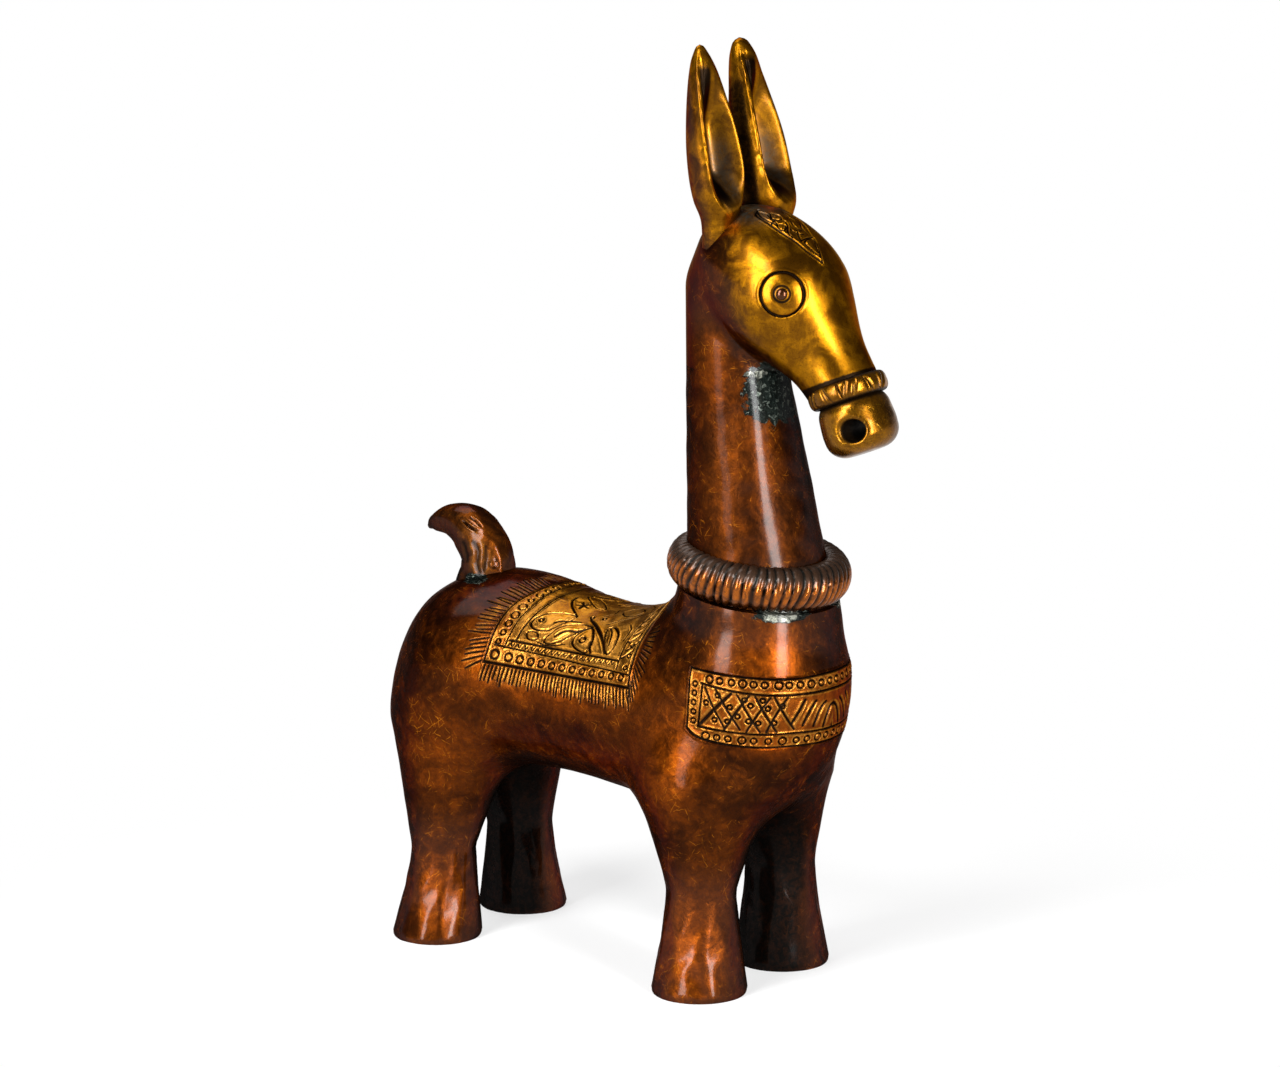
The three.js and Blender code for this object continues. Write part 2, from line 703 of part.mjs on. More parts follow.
/** An ear drawn on the left: a round horn, scooped out in front, standing on the head. */
function earHorn(stations, headOutside) {
  const outward = new THREE.Vector3(Math.cos(ear.turn * degrees), Math.sin(ear.turn * degrees), 0);
  const open = scoop.opening * degrees;
  const [backPoints, frontPoints] = [8, 6];
  const section = (t, middle, tangent, radius) => {
    const front = outward.clone().addScaledVector(tangent, -outward.dot(tangent)).normalize();
    const across = new THREE.Vector3().crossVectors(tangent, front);
    const inside = Math.min(1, Math.max(0, t - scoop.from) / 0.12, Math.max(0, scoop.to - t) / 0.2);
    const share = inside * inside * (3 - 2 * inside);
    const rimDepth = radius * Math.cos(open);
    const deep = Math.max(0.5, rimDepth + radius - scoop.back) * share;
    const back = Array.from({ length: backPoints }, (_, n) => {
      const angle = open + ((2 * Math.PI - 2 * open) * n) / (backPoints - 1);
      return [radius * Math.cos(angle), radius * Math.sin(angle)];
    });
    const scooped = Array.from({ length: frontPoints }, (_, n) => {
      const angle = -Math.PI / 2 + (Math.PI * (n + 0.5)) / frontPoints;
      const half = Math.max(radius * Math.sin(open) - scoop.rim * share, radius * 0.3);
      const wide = half * Math.sin(angle);
      const round = Math.sqrt(Math.max(0, radius * radius - wide * wide));
      return [round * (1 - share) + share * rimDepth - deep * Math.cos(angle), wide];
    });
    return [...back, ...scooped].map(([forward, wide]) =>
      middle.clone().addScaledVector(front, forward).addScaledVector(across, wide).toArray(),
    );
  };
  return loft(sweep(stations, ear.y, 14, section)).subtract(headOutside);
}

/** The tail: an oval section swept along its hook, standing on the rump. */
function tailHook() {
  const rump = [
    [-80, -20, 104],
    [-30, 20, 142],
  ];
  const count = 16;
  const across = new THREE.Vector3(0, 1, 0);
  const section = (t, middle, tangent, radius) => {
    const up = new THREE.Vector3().crossVectors(across, tangent);
    return Array.from({ length: count }, (_, n) => {
      const angle = (2 * Math.PI * n) / count;
      const [c, s] = [radius * Math.cos(angle), radius * tailWidth * Math.sin(angle)];
      return middle.clone().addScaledVector(up, c).addScaledVector(across, s).toArray();
    });
  };
  return loft(sweep(tailStations, 0, 15, section)).subtract(skin((x, y, z) => body(x, y, z) - gap, rump, 4));
}

const figure = new THREE.Group();
const finishes = {
  patina: { color: 0x6b2a12, roughness: 0.3, metalness: 0.9 }, // dark copper-brown over the whole body
  collar: { color: 0x7d4018, roughness: 0.34, metalness: 0.9 }, // rubbed a little brighter on its ridges
  brass: { color: 0xb0832a, roughness: 0.26, metalness: 1 }, // burnished
  worn: { color: 0x8a6430, roughness: 0.5, metalness: 0.9 }, // under the feet
  bead: { color: 0x7a3a1c, roughness: 0.3, metalness: 1 },
};

/** Put a solid into the figure as a named piece. */
function place(name, shape, finish, mirrored = false) {
  const mesh = shape.getMesh();
  const geometry = new THREE.BufferGeometry();
  geometry.setAttribute("position", new THREE.BufferAttribute(mesh.vertProperties.slice(), 3));
  geometry.setIndex(new THREE.BufferAttribute(mesh.triVerts.slice(), 1));
  if (mirrored) {
    geometry.scale(1, -1, 1);
    const { array } = geometry.index;
    for (let n = 0; n < array.length; n += 3) [array[n + 1], array[n + 2]] = [array[n + 2], array[n + 1]];
  }
  const piece = new THREE.Mesh(geometry, new THREE.MeshStandardMaterial(finish));
  piece.name = name;
  figure.add(piece);
}

const trunk = trunkHalf();
place("trunk_left_shell", trunk, finishes.patina);
place("trunk_right_shell", trunk, finishes.patina, true);
for (const [end, leg] of [
  ["front", frontLeg],
  ["rear", rearLeg],
]) {
  const shell = legShell(leg);
  const sole = solePlate(leg);
  place(`${end}_left_leg`, shell, finishes.patina);
  place(`${end}_right_leg`, shell, finishes.patina, true);
  place(`${end}_left_sole`, sole, finishes.worn);
  place(`${end}_right_sole`, sole, finishes.worn, true);
}
place("neck_shell", neckShell(), finishes.patina);
place("collar_ring", collarRing(), finishes.collar);
place("tail", tailHook(), finishes.patina);

const eyeSides = [
  ["left", 1],
  ["right", -1],
];
const eyeSeats = eyeSides.map(([, side]) => {
  const frame = eyeFrame(side);
  const recess = plug(eye.radius + gap, -eye.thickness, pastSkin, eyeSegments, frame);
  return recess.add(plug(rivet.shank + gap, -shankBore, 1, shankSegments, frame));
});
const headProud = headSkin(-gap, 0, headCell);
place("head_shell", headShell(headSkin(0, -gap / 2, headCell), eyeSeats), finishes.brass);
place("noseband", nosebandRing(), finishes.brass);
place("muzzle", muzzleBlock(), finishes.brass);
for (const [name, side] of eyeSides) {
  const frame = eyeFrame(side);
  const disc = plug(eye.radius, gap - eye.thickness, pastSkin, eyeSegments, frame);
  const hole = plug(rivet.shank + gap, -shankBore, pastSkin, shankSegments, frame);
  place(`${name}_eye_disc`, disc.intersect(headProud).subtract(hole), finishes.brass);
  place(`${name}_eye_rivet`, eyeRivet(frame), finishes.bead);
}
place("left_ear", earHorn(leftEar, headProud), finishes.brass);
place("right_ear", earHorn(rightEar, headProud), finishes.brass, true);

figure.updateMatrixWorld(true);
const extent = new THREE.Box3().setFromObject(figure);
const whole = new THREE.Group();
figure.position.x = -(extent.min.x + extent.max.x) / 2;
whole.add(figure);

export default whole;
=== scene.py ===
"""Looks of a cast horse figurine: smooth castings, chased ornament and aged brass and copper."""

import logging
import math
from contextlib import contextmanager
from dataclasses import dataclass
from enum import Enum
from typing import Callable, Iterator, Sequence

import bpy
import numpy as np
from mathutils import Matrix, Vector


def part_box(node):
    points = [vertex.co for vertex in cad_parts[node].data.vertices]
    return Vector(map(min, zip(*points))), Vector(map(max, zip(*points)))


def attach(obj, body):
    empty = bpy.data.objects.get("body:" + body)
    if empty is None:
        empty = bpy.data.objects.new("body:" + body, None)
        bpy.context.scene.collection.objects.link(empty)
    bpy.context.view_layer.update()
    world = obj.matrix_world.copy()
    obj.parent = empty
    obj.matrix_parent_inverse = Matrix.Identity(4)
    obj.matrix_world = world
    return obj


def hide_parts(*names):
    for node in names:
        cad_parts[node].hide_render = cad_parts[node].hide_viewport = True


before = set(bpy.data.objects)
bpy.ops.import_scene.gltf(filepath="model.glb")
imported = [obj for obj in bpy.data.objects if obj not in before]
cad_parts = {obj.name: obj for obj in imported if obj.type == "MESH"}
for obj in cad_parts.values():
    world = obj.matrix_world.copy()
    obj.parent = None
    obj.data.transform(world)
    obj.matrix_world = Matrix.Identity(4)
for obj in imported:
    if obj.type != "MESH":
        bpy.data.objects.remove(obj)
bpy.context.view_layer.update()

LOG = logging.getLogger("figurine")
MM = 0.001
WELD = 1e-7  # metres within which a cut takes a point as its own
BURR = 0.16  # height in millimetres at which a burr shines fully
Array = np.ndarray
Field = Callable[[Array], Array]


# The master form, in millimetres from the middle of the feet


def blended(a: Array, b: Array, blend: float) -> Array:
    """Join two distances with a fillet.

    Args:
        a: Distances from the first form.
        b: Distances from the second form.
        blend: About the fillet's width.

    Returns:
        Distances from the joined form.
    """
    overlap = np.maximum(blend - np.abs(a - b), 0.0) / blend
    return np.minimum(a, b) - overlap**2 * blend / 4


def smoothstep(low: float, high: float, value: Array) -> Array:
    """Fade from 0 to 1 between two values.

    Args:
        low: Value at which the fade starts.
        high: Value at which it ends, which may be below the start.
        value: Values to fade.

    Returns:
        The faded values.
    """
    t = np.clip((value - low) / (high - low), 0.0, 1.0)
    return t * t * (3 - 2 * t)


def hill(off: Array, width: float) -> Array:
    """A smooth hill of height 1 that falls to about a third at its width."""
    return np.exp(-((off / width) ** 2))


@dataclass(frozen=True)
class Mass:
    """An ellipsoid on the middle plane."""

    x: float
    z: float
    length: float
    width: float
    height: float
    tilt: float = 0.0

    def distance(self, p: Array) -> Array:
        """Distances of points, close to true near the surface.

        Args:
            p: Points, one a row.

        Returns:
            One distance a point.
        """
        c, s = math.cos(math.radians(self.tilt)), math.sin(math.radians(self.tilt))
        dx, dz = p[:, 0] - self.x, p[:, 2] - self.z
        u, v = dx * c - dz * s, dx * s + dz * c
        near = np.sqrt((u / self.length) ** 2 + (p[:, 1] / self.width) ** 2 + (v / self.height) ** 2)
        slope = np.sqrt((u / self.length**2) ** 2 + (p[:, 1] / self.width**2) ** 2 + (v / self.height**2) ** 2)
        return near * (near - 1) / np.maximum(slope, 1e-6)


@dataclass(frozen=True)
class Ball:
    """A ball, or one end of a limb."""

    x: float
    z: float
    radius: float
    y: float = 0.0

    @property
    def centre(self) -> Array:
        """The ball's middle."""
        return np.array([self.x, self.y, self.z])


@dataclass(frozen=True)
class Limb:
    """A cone between two balls."""

    start: Ball
    end: Ball

    def distance(self, p: Array) -> Array:
        """Distances of points.

        Args:
            p: Points, one a row.

        Returns:
            One distance a point.
        """
        way = self.end.centre - self.start.centre
        out = p - self.start.centre
        t = np.clip(out @ way / (way @ way), 0.0, 1.0)
        reach = np.linalg.norm(out - t[:, None] * way, axis=1)
        return reach - (self.start.radius + (self.end.radius - self.start.radius) * t)


@dataclass(frozen=True)
class Leg:
    """A round post that flares to the foot and to the hip."""

    foot: Ball
    ankle: Ball
    hip: Ball
    foot_edge: float = 1.5
    foot_flare: float = 1.4
    thigh_flare: float = 1.2

    def section(self, z: Array) -> tuple[Array, Array, Array]:
        """Middle and radius of the post.

        Args:
            z: Heights.

        Returns:
            X, Y and radius at each height.
        """
        low = np.maximum(0.0, (self.ankle.z - z) / self.ankle.z) ** self.foot_flare
        high = np.maximum(0.0, (z - self.ankle.z) / (self.hip.z - self.ankle.z)) ** self.thigh_flare

        def mix(name: str) -> Array:
            """Blend one size of the three stations."""
            waist = getattr(self.ankle, name)
            return waist + (getattr(self.foot, name) - waist) * low + (getattr(self.hip, name) - waist) * high

        lift = np.clip(self.foot_edge - z, 0.0, self.foot_edge)
        rounding = self.foot_edge - np.sqrt(self.foot_edge**2 - lift**2)
        return mix("x"), mix("y"), mix("radius") - rounding

    def distance(self, p: Array) -> Array:
        """Distances of points from the pair of posts, left and right.

        Args:
            p: Points, one a row.

        Returns:
            One distance a point.
        """
        level = np.minimum(p[:, 2], self.hip.z)
        x, y, radius = self.section(level)
        return np.sqrt((p[:, 0] - x) ** 2 + (np.abs(p[:, 1]) - y) ** 2 + (p[:, 2] - level) ** 2) - radius


@dataclass(frozen=True)
class Castings:
    """The forms that the hollow castings share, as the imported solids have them."""

    wheelbase: float = 115.0
    track: float = 48.0
    leg_cut: float = 55.0
    seat: Ball = Ball(64.0, 137.0, 27.0)
    seat_tilt: float = 7.0
    neck_foot: Ball = Ball(65.1, 137.0, 24.7)
    neck_top: Ball = Ball(51.5, 240.0, 14.7)
    neck_cut: float = 214.0
    haunch: Mass = Mass(-42.0, 96.0, 41.0, 37.5, 33.5)
    barrel: Mass = Mass(15.3, 92.4, 43.0, 34.5, 30.6)
    chest: Mass = Mass(57.6, 92.6, 35.0, 32.5, 34.5)
    shoulder: Ball = Ball(64.5, 112.0, 30.3)
    skull: Mass = Mass(67.8, 243.8, 28.3, 21.2, 23.0, 36.4)
    nose_root: Ball = Ball(78.9, 237.6, 15.3)
    nose: Ball = Ball(97.9, 212.4, 12.5)
    trunk_blend: float = 26.0
    shoulder_blend: float = 13.0
    leg_blend: float = 12.0
    nose_blend: float = 14.5
    throat_blend: float = 4.5

    @property
    def front_leg(self) -> Leg:
        """The front pair of legs."""
        half = self.wheelbase / 2
        return Leg(Ball(half, 0.0, 16.8, self.track / 2), Ball(half, 36.0, 12.2, 22.7), Ball(54.5, 70.0, 23.8, 16.8))

    @property
    def rear_leg(self) -> Leg:
        """The rear pair of legs.

        Returns:
            The form of both.
        """
        half = self.wheelbase / 2
        foot = Ball(-half - 0.6, 0.0, 16.1, self.track / 2 + 0.4)
        return Leg(foot, Ball(-half + 0.4, 32.0, 11.8, 21.4), Ball(-56.0, 77.5, 25.0, 12.2))

    @property
    def shift(self) -> float:
        """How far the frame's origin lies from the middle of the feet, along X."""
        low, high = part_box("front_left_sole")
        return (low.x + high.x) / 2 / MM - self.wheelbase / 2

    def shoulder_cone(self) -> Limb:
        """The cone under the neck seat."""
        return Limb(self.shoulder, Ball(self.seat.x, self.seat.z + 3, self.seat.radius))

    def body(self, p: Array) -> Array:
        """Distances from the trunk and legs as one skin.

        Args:
            p: Points, one a row.

        Returns:
            One distance a point.
        """
        front = blended(self.chest.distance(p), self.shoulder_cone().distance(p), self.shoulder_blend)
        middle = blended(front, self.barrel.distance(p), self.trunk_blend)
        trunk = blended(middle, self.haunch.distance(p), self.trunk_blend)
        legs = np.minimum(self.front_leg.distance(p), self.rear_leg.distance(p))
        return blended(trunk, legs, self.leg_blend)

    def neck(self, p: Array) -> Array:
        """Distances from the neck post.

        Args:
            p: Points, one a row.

        Returns:
            One distance a point.
        """
        level = np.minimum(p[:, 2], self.neck_top.z)
        t = (self.neck_top.z - level) / (self.neck_top.z - self.seat.z)
        x = self.neck_top.x + (self.neck_foot.x - self.neck_top.x) * t
        radius = self.neck_top.radius + (self.neck_foot.radius - self.neck_top.radius) * t
        return np.sqrt((p[:, 0] - x) ** 2 + p[:, 1] ** 2 + (p[:, 2] - level) ** 2) - radius

    def head(self, p: Array) -> Array:
        """Distances from the head on top of the neck as one skin.

        Args:
            p: Points, one a row.

        Returns:
            One distance a point.
        """
        nose = Limb(self.nose_root, self.nose).distance(p)
        face = blended(self.skull.distance(p), nose, self.nose_blend)
        return blended(face, self.neck(p), self.throat_blend)

    def seat_frame(self) -> Array:
        """Axes of the neck seat as columns: down to the front, across, and its normal."""
        c, s = math.cos(math.radians(self.seat_tilt)), math.sin(math.radians(self.seat_tilt))
        return np.array([[c, 0.0, s], [0.0, 1.0, 0.0], [-s, 0.0, c]])


def slope_of(p: Array, form: Field) -> tuple[Array, Array]:
    """Distances of points and the way in which each grows.

    Args:
        p: Points, one a row.
        form: The form's distance function.

    Returns:
        The distances, and the gradients, one a row.
    """
    h = 0.02
    value = form(p)
    gradient = np.empty_like(p)
    for axis in range(3):
        step = np.zeros(3)
        step[axis] = h
        gradient[:, axis] = (form(p + step) - form(p - step)) / (2 * h)
    return value, gradient


def landed(p: Array, form: Field, rounds: int = 3, longest: float = 3.0) -> Array:
    """Move points straight onto a form's surface.

    Args:
        p: Points, one a row.
        form: The form's distance function.
        rounds: How often each point is corrected.
        longest: The longest step of a correction.

    Returns:
        The moved points.
    """
    for _ in range(rounds):
        value, gradient = slope_of(p, form)
        steep = np.maximum((gradient**2).sum(1), 0.25)
        step = gradient * (value / steep)[:, None]
        length = np.linalg.norm(step, axis=1, keepdims=True)
        p = p - step * np.minimum(1.0, longest / np.maximum(length, 1e-9))
    return p


# Bench work: the few operations that every piece is modelled with


def read(items: object, name: str, width: int = 1, kind: type = float) -> Array:
    """Read one value of every point, edge, corner or face of a mesh.

    Args:
        items: The mesh's points, edges, corners or faces.
        name: The value's name.
        width: How many numbers it has.
        kind: Their type.

    Returns:
        The values, one a row where they have several numbers.
    """
    values = np.empty(len(items) * width, kind)
    items.foreach_get(name, values)
    return values.reshape(-1, width) if width > 1 else values


@contextmanager
def editing() -> Iterator[None]:
    """Work in edit mode, and leave it afterwards.

    Returns:
        The context of a with statement.
    """
    bpy.ops.object.mode_set(mode="EDIT")
    yield
    bpy.ops.object.mode_set(mode="OBJECT")


class Bench:
    """Modelling operations on one object at a time, in millimetres from the middle of the feet."""

    def __init__(self, shift: float) -> None:
        """Remember where the feet's middle lies in the frame.

        Args:
            shift: Millimetres along X from the frame's origin.
        """
        self.shift = shift

    def place(self, x: float, y: float, z: float) -> tuple[float, float, float]:
        """A place in the frame, in metres."""
        return ((x + self.shift) * MM, y * MM, z * MM)

    @staticmethod
    def take(piece: bpy.types.Object, *others: bpy.types.Object) -> None:
        """Select a piece, and others with it, and make it the active one.

        Args:
            piece: The object to make active.
            others: Objects selected with it.
        """
        bpy.ops.object.select_all(action="DESELECT")
        for one in (*others, piece):
            one.select_set(True)
        bpy.context.view_layer.objects.active = piece

    @staticmethod
    def settled(name: str) -> bpy.types.Object:
        """Name the newest object and put its place into its mesh.

        Args:
            name: The object's name.

        Returns:
            The object.
        """
        piece = bpy.context.object
        piece.name = name
        piece.data.name = name
        bpy.ops.object.transform_apply(location=True, rotation=True, scale=True)
        return piece

    def ball(self, name: str, at: Ball, scale: Sequence[float] = (1, 1, 1), tilt: float = 0.0) -> bpy.types.Object:
        """Add a ball or an ellipsoid.

        Args:
            name: The object's name.
            at: Its middle and radius.
            scale: Its stretch along X, Y and Z.
            tilt: Degrees that its length drops at the front.

        Returns:
            The new object.
        """
        bpy.ops.object.select_all(action="DESELECT")
        bpy.ops.mesh.primitive_uv_sphere_add(
            segments=64,
            ring_count=32,
            radius=at.radius * MM,
            location=self.place(at.x, at.y, at.z),
            rotation=(0, math.radians(tilt), 0),
            scale=scale,
        )
        return self.settled(name)

    def mass(self, name: str, form: Mass) -> bpy.types.Object:
        """Add an ellipsoid as a master form has it."""
        return self.ball(name, Ball(form.x, form.z, 1.0), (form.length, form.width, form.height), form.tilt)

    def cone(self, name: str, start: Ball, end: Ball, sides: int = 64) -> bpy.types.Object:
        """Add a cone between two stations.

        Args:
            name: The object's name.
            start: Middle and radius of its foot.
            end: Middle and radius of its top.
            sides: Faces round it.

        Returns:
            The new object.
        """
        way = Vector(end.centre - start.centre)
        turn = Vector((0, 0, 1)).rotation_difference(way)
        middle = (start.centre + end.centre) / 2
        bpy.ops.object.select_all(action="DESELECT")
        bpy.ops.mesh.primitive_cone_add(
            vertices=sides,
            radius1=start.radius * MM,
            radius2=end.radius * MM,
            depth=way.length * MM,
            location=self.place(*middle),
            rotation=turn.to_euler(),
        )
        return self.settled(name)

    def tube(self, name: str, columns: int, rings: int) -> bpy.types.Object:
        """Add a closed upright tube whose side has many rings, to be shaped by its rows.

        Args:
            name: The object's name.
            columns: Points round it.
            rings: Rings from end to end.

        Returns:
            The new object; its side runs from Z 0 to Z 1 and its radius is 1, in metres.
        """
        bpy.ops.object.select_all(action="DESELECT")
        bpy.ops.mesh.primitive_cylinder_add(vertices=columns, radius=1.0, depth=1.0, location=(0, 0, 0.5))
        tube = self.settled(name)
        with editing():
            bpy.ops.mesh.select_all(action="DESELECT")
        for edge in tube.data.edges:
            low, high = (tube.data.vertices[v].co.z for v in edge.vertices)
            edge.select = abs(low - high) > 0.5
        with editing():
            bpy.ops.mesh.select_mode(type="EDGE")
            bpy.ops.mesh.subdivide(number_cuts=rings - 2)
        return tube

    def joined(self, name: str, pieces: Sequence[bpy.types.Object]) -> bpy.types.Object:
        """Join objects into the first of them.

        Args:
            name: The joined object's name.
            pieces: The objects.

        Returns:
            The joined object.
        """
        self.take(pieces[0], *pieces[1:])
        bpy.ops.object.join()
        pieces[0].name = name
        pieces[0].data.name = name
        return pieces[0]

    def modify(self, piece: bpy.types.Object, kind: str, **settings: object) -> None:
        """Add a modifier to a piece and apply it.

        Args:
            piece: The object.
            kind: The modifier's type.
            settings: The modifier's settings.
        """
        self.take(piece)
        modifier = piece.modifiers.new(kind.lower(), kind)
        for key, value in settings.items():
            setattr(modifier, key, value)
        bpy.ops.object.modifier_apply(modifier=modifier.name)

    def points(self, piece: bpy.types.Object) -> Array:
        """The points of a piece.

        Args:
            piece: The object.

        Returns:
            Points, one a row, in millimetres from the middle of the feet.
        """
        p = read(piece.data.vertices, "co", 3) / MM
        p[:, 0] -= self.shift
        return p

    def reshape(self, piece: bpy.types.Object, p: Array) -> None:
        """Move the points of a piece.

        Args:
            piece: The object.
            p: Its new points, one a row.
        """
        moved = p.copy()
        moved[:, 0] += self.shift
        piece.data.vertices.foreach_set("co", (moved * MM).ravel())
        piece.data.update()

    def settle(self, piece: bpy.types.Object, form: Field, rounds: int, longest: float = 3.0) -> None:
        """Even out a mesh along the surface of a form.

        Args:
            piece: The object.
            form: The form's distance function.
            rounds: How often it is evened out.
            longest: The longest step that a point takes at once.
        """
        edges = read(piece.data.edges, "vertices", 2, np.int64)
        a, b = edges.T
        p = landed(self.points(piece), form, 4, longest)
        count = np.bincount(edges.ravel(), minlength=len(p))[:, None]
        for _ in range(rounds):
            sums = [np.bincount(a, p[b, i], len(p)) + np.bincount(b, p[a, i], len(p)) for i in range(3)]
            p = landed(p + (np.stack(sums, axis=1) / count - p) * 0.5, form, 2, longest)
        self.reshape(piece, p)

    def refine(self, piece: bpy.types.Object, chosen: Array, cuts: int) -> None:
        """Subdivide the faces round chosen points.

        Args:
            piece: The object.
            chosen: One true or false a point.
            cuts: Cuts along each edge.
        """
        corners = read(piece.data.loops, "vertex_index", kind=np.int64)
        starts = read(piece.data.polygons, "loop_start", kind=np.int64)
        self.pick_faces(piece, np.logical_or.reduceat(chosen[corners], starts))
        with editing():
            bpy.ops.mesh.subdivide(number_cuts=cuts, ngon=False)

    def pick_faces(self, piece: bpy.types.Object, picked: Array) -> None:
        """Select some faces of a piece and nothing else.

        Args:
            piece: The object.
            picked: One true or false a face.
        """
        self.take(piece)
        with editing():
            bpy.ops.mesh.select_mode(type="FACE")
            bpy.ops.mesh.select_all(action="DESELECT")
        piece.data.polygons.foreach_set("select", picked.astype(bool))

    def cut(
        self, piece: bpy.types.Object, at: Sequence[float], normal: Sequence[float], picked: Array | None = None
    ) -> None:
        """Cut a piece at a plane, drop what lies in front of it, and close the cut.

        Args:
            piece: The object.
            at: A place on the plane.
            normal: The way to the side that is dropped.
            picked: One true or false a face that is cut; every face if left out.
        """
        every = np.ones(len(piece.data.polygons), bool)
        self.pick_faces(piece, every if picked is None else picked)
        plane = {"plane_co": self.place(*at), "plane_no": tuple(normal), "threshold": WELD}
        with editing():
            bpy.ops.mesh.bisect(**plane, use_fill=False, clear_outer=True)
            bpy.ops.mesh.select_mode(type="EDGE")
            if piece.data.total_edge_sel:
                bpy.ops.mesh.fill(use_beauty=True)

    def score(self, piece: bpy.types.Object, at: Sequence[float], normal: Sequence[float]) -> None:
        """Put a line of points into a piece along a plane and leave it whole.

        Args:
            piece: The object.
            at: A place on the plane.
            normal: The plane's normal.
        """
        self.pick_faces(piece, np.ones(len(piece.data.polygons), bool))
        with editing():
            bpy.ops.mesh.bisect(plane_co=self.place(*at), plane_no=tuple(normal), threshold=WELD)

    def remember_normals(self, piece: bpy.types.Object) -> None:
        """Store each point's normal, so that the parts of a piece still shade as one skin."""
        attribute = piece.data.attributes.new("skin_normal", "FLOAT_VECTOR", "POINT")
        attribute.data.foreach_set("vector", read(piece.data.vertex_normals, "vector", 3, np.float32).ravel())

    def restore_normals(self, piece: bpy.types.Object, edge: Callable[[Array], Array]) -> None:
        """Shade the rim of a cut as the whole skin was shaded.

        Args:
            piece: The object.
            edge: Tells which points lie on a cut.
        """
        mesh = piece.data
        corners = read(mesh.loops, "vertex_index", kind=np.int64)
        sizes = read(mesh.polygons, "loop_total", kind=np.int64)
        faces = np.repeat(read(mesh.polygons, "normal", 3), sizes, axis=0)
        wanted = read(mesh.attributes["skin_normal"].data, "vector", 3, np.float32)[corners]
        own = ((faces * wanted).sum(1) > 0.5) & edge(self.points(piece))[corners]
        mesh.normals_split_custom_set(np.where(own[:, None], wanted, 0.0).tolist())
        mesh.attributes.remove(mesh.attributes["skin_normal"])

    def copy(self, piece: bpy.types.Object, name: str) -> bpy.types.Object:
        """Copy a piece with a mesh of its own.

        Args:
            piece: The object.
            name: The copy's name.

        Returns:
            The copy.
        """
        self.take(piece)
        bpy.ops.object.duplicate()
        twin = bpy.context.object
        twin.name = name
        twin.data.name = name
        return twin

    def outwards(self, piece: bpy.types.Object) -> None:
        """Turn the faces of a closed piece outwards.

        Args:
            piece: The object.
        """
        self.take(piece)
        with editing():
            bpy.ops.mesh.select_all(action="SELECT")
            bpy.ops.mesh.normals_make_consistent(inside=False)

    def smooth(self, piece: bpy.types.Object, angle: float = 50.0) -> None:
        """Shade a piece smooth apart from edges that are sharper than an angle in degrees."""
        self.take(piece)
        bpy.ops.object.shade_smooth_by_angle(angle=math.radians(angle))

    @staticmethod
    def note(piece: bpy.types.Object, **marks: Array) -> None:
        """Store marks, one number a point each, for the piece's finish to read.

        Args:
            piece: The object.
            marks: The numbers by the attributes' names.
        """
        for name, values in marks.items():
            attribute = piece.data.attributes.new(name, "FLOAT", "POINT")
            attribute.data.foreach_set("value", values.astype(np.float32))


# Chased ornament: lines, rings and leaves drawn on a flat chart of the surface, in millimetres


Points = Sequence[tuple[float, float]] | Array


def drawn(points: Points, closed: bool = False, per_span: int = 8) -> Array:
    """Run a smooth line through points.

    Args:
        points: The points.
        closed: Whether the line returns to its start.
        per_span: Steps between two points.

    Returns:
        The line's points, one a row.
    """
    p = np.array(points, float)
    if closed:
        p = np.vstack([p[-1], p, p[0], p[1]])
    else:
        p = np.vstack([2 * p[0] - p[1], p, 2 * p[-1] - p[-2]])
    t = np.arange(per_span)[:, None] / per_span
    spans = []
    for a, b, c, d in zip(p, p[1:], p[2:], p[3:]):
        spans.append(0.5 * (2 * b + (c - a) * t + (2 * a - 5 * b + 4 * c - d) * t**2 + (3 * b - a - 3 * c + d) * t**3))
    return np.vstack([*spans, p[-2]])


@dataclass(frozen=True)
class Stroke:
    """An engraved line; a closed one may stand up as a leaf inside."""

    points: Points
    width: float = 0.30
    depth: float = 0.42
    closed: bool = False
    swell: float = 0.0
    taper: bool = False


@dataclass(frozen=True)
class Punch:
    """A ring punched into the surface, with a bead of metal inside."""

    at: tuple[float, float]
    radius: float
    width: float = 0.26
    depth: float = 0.42


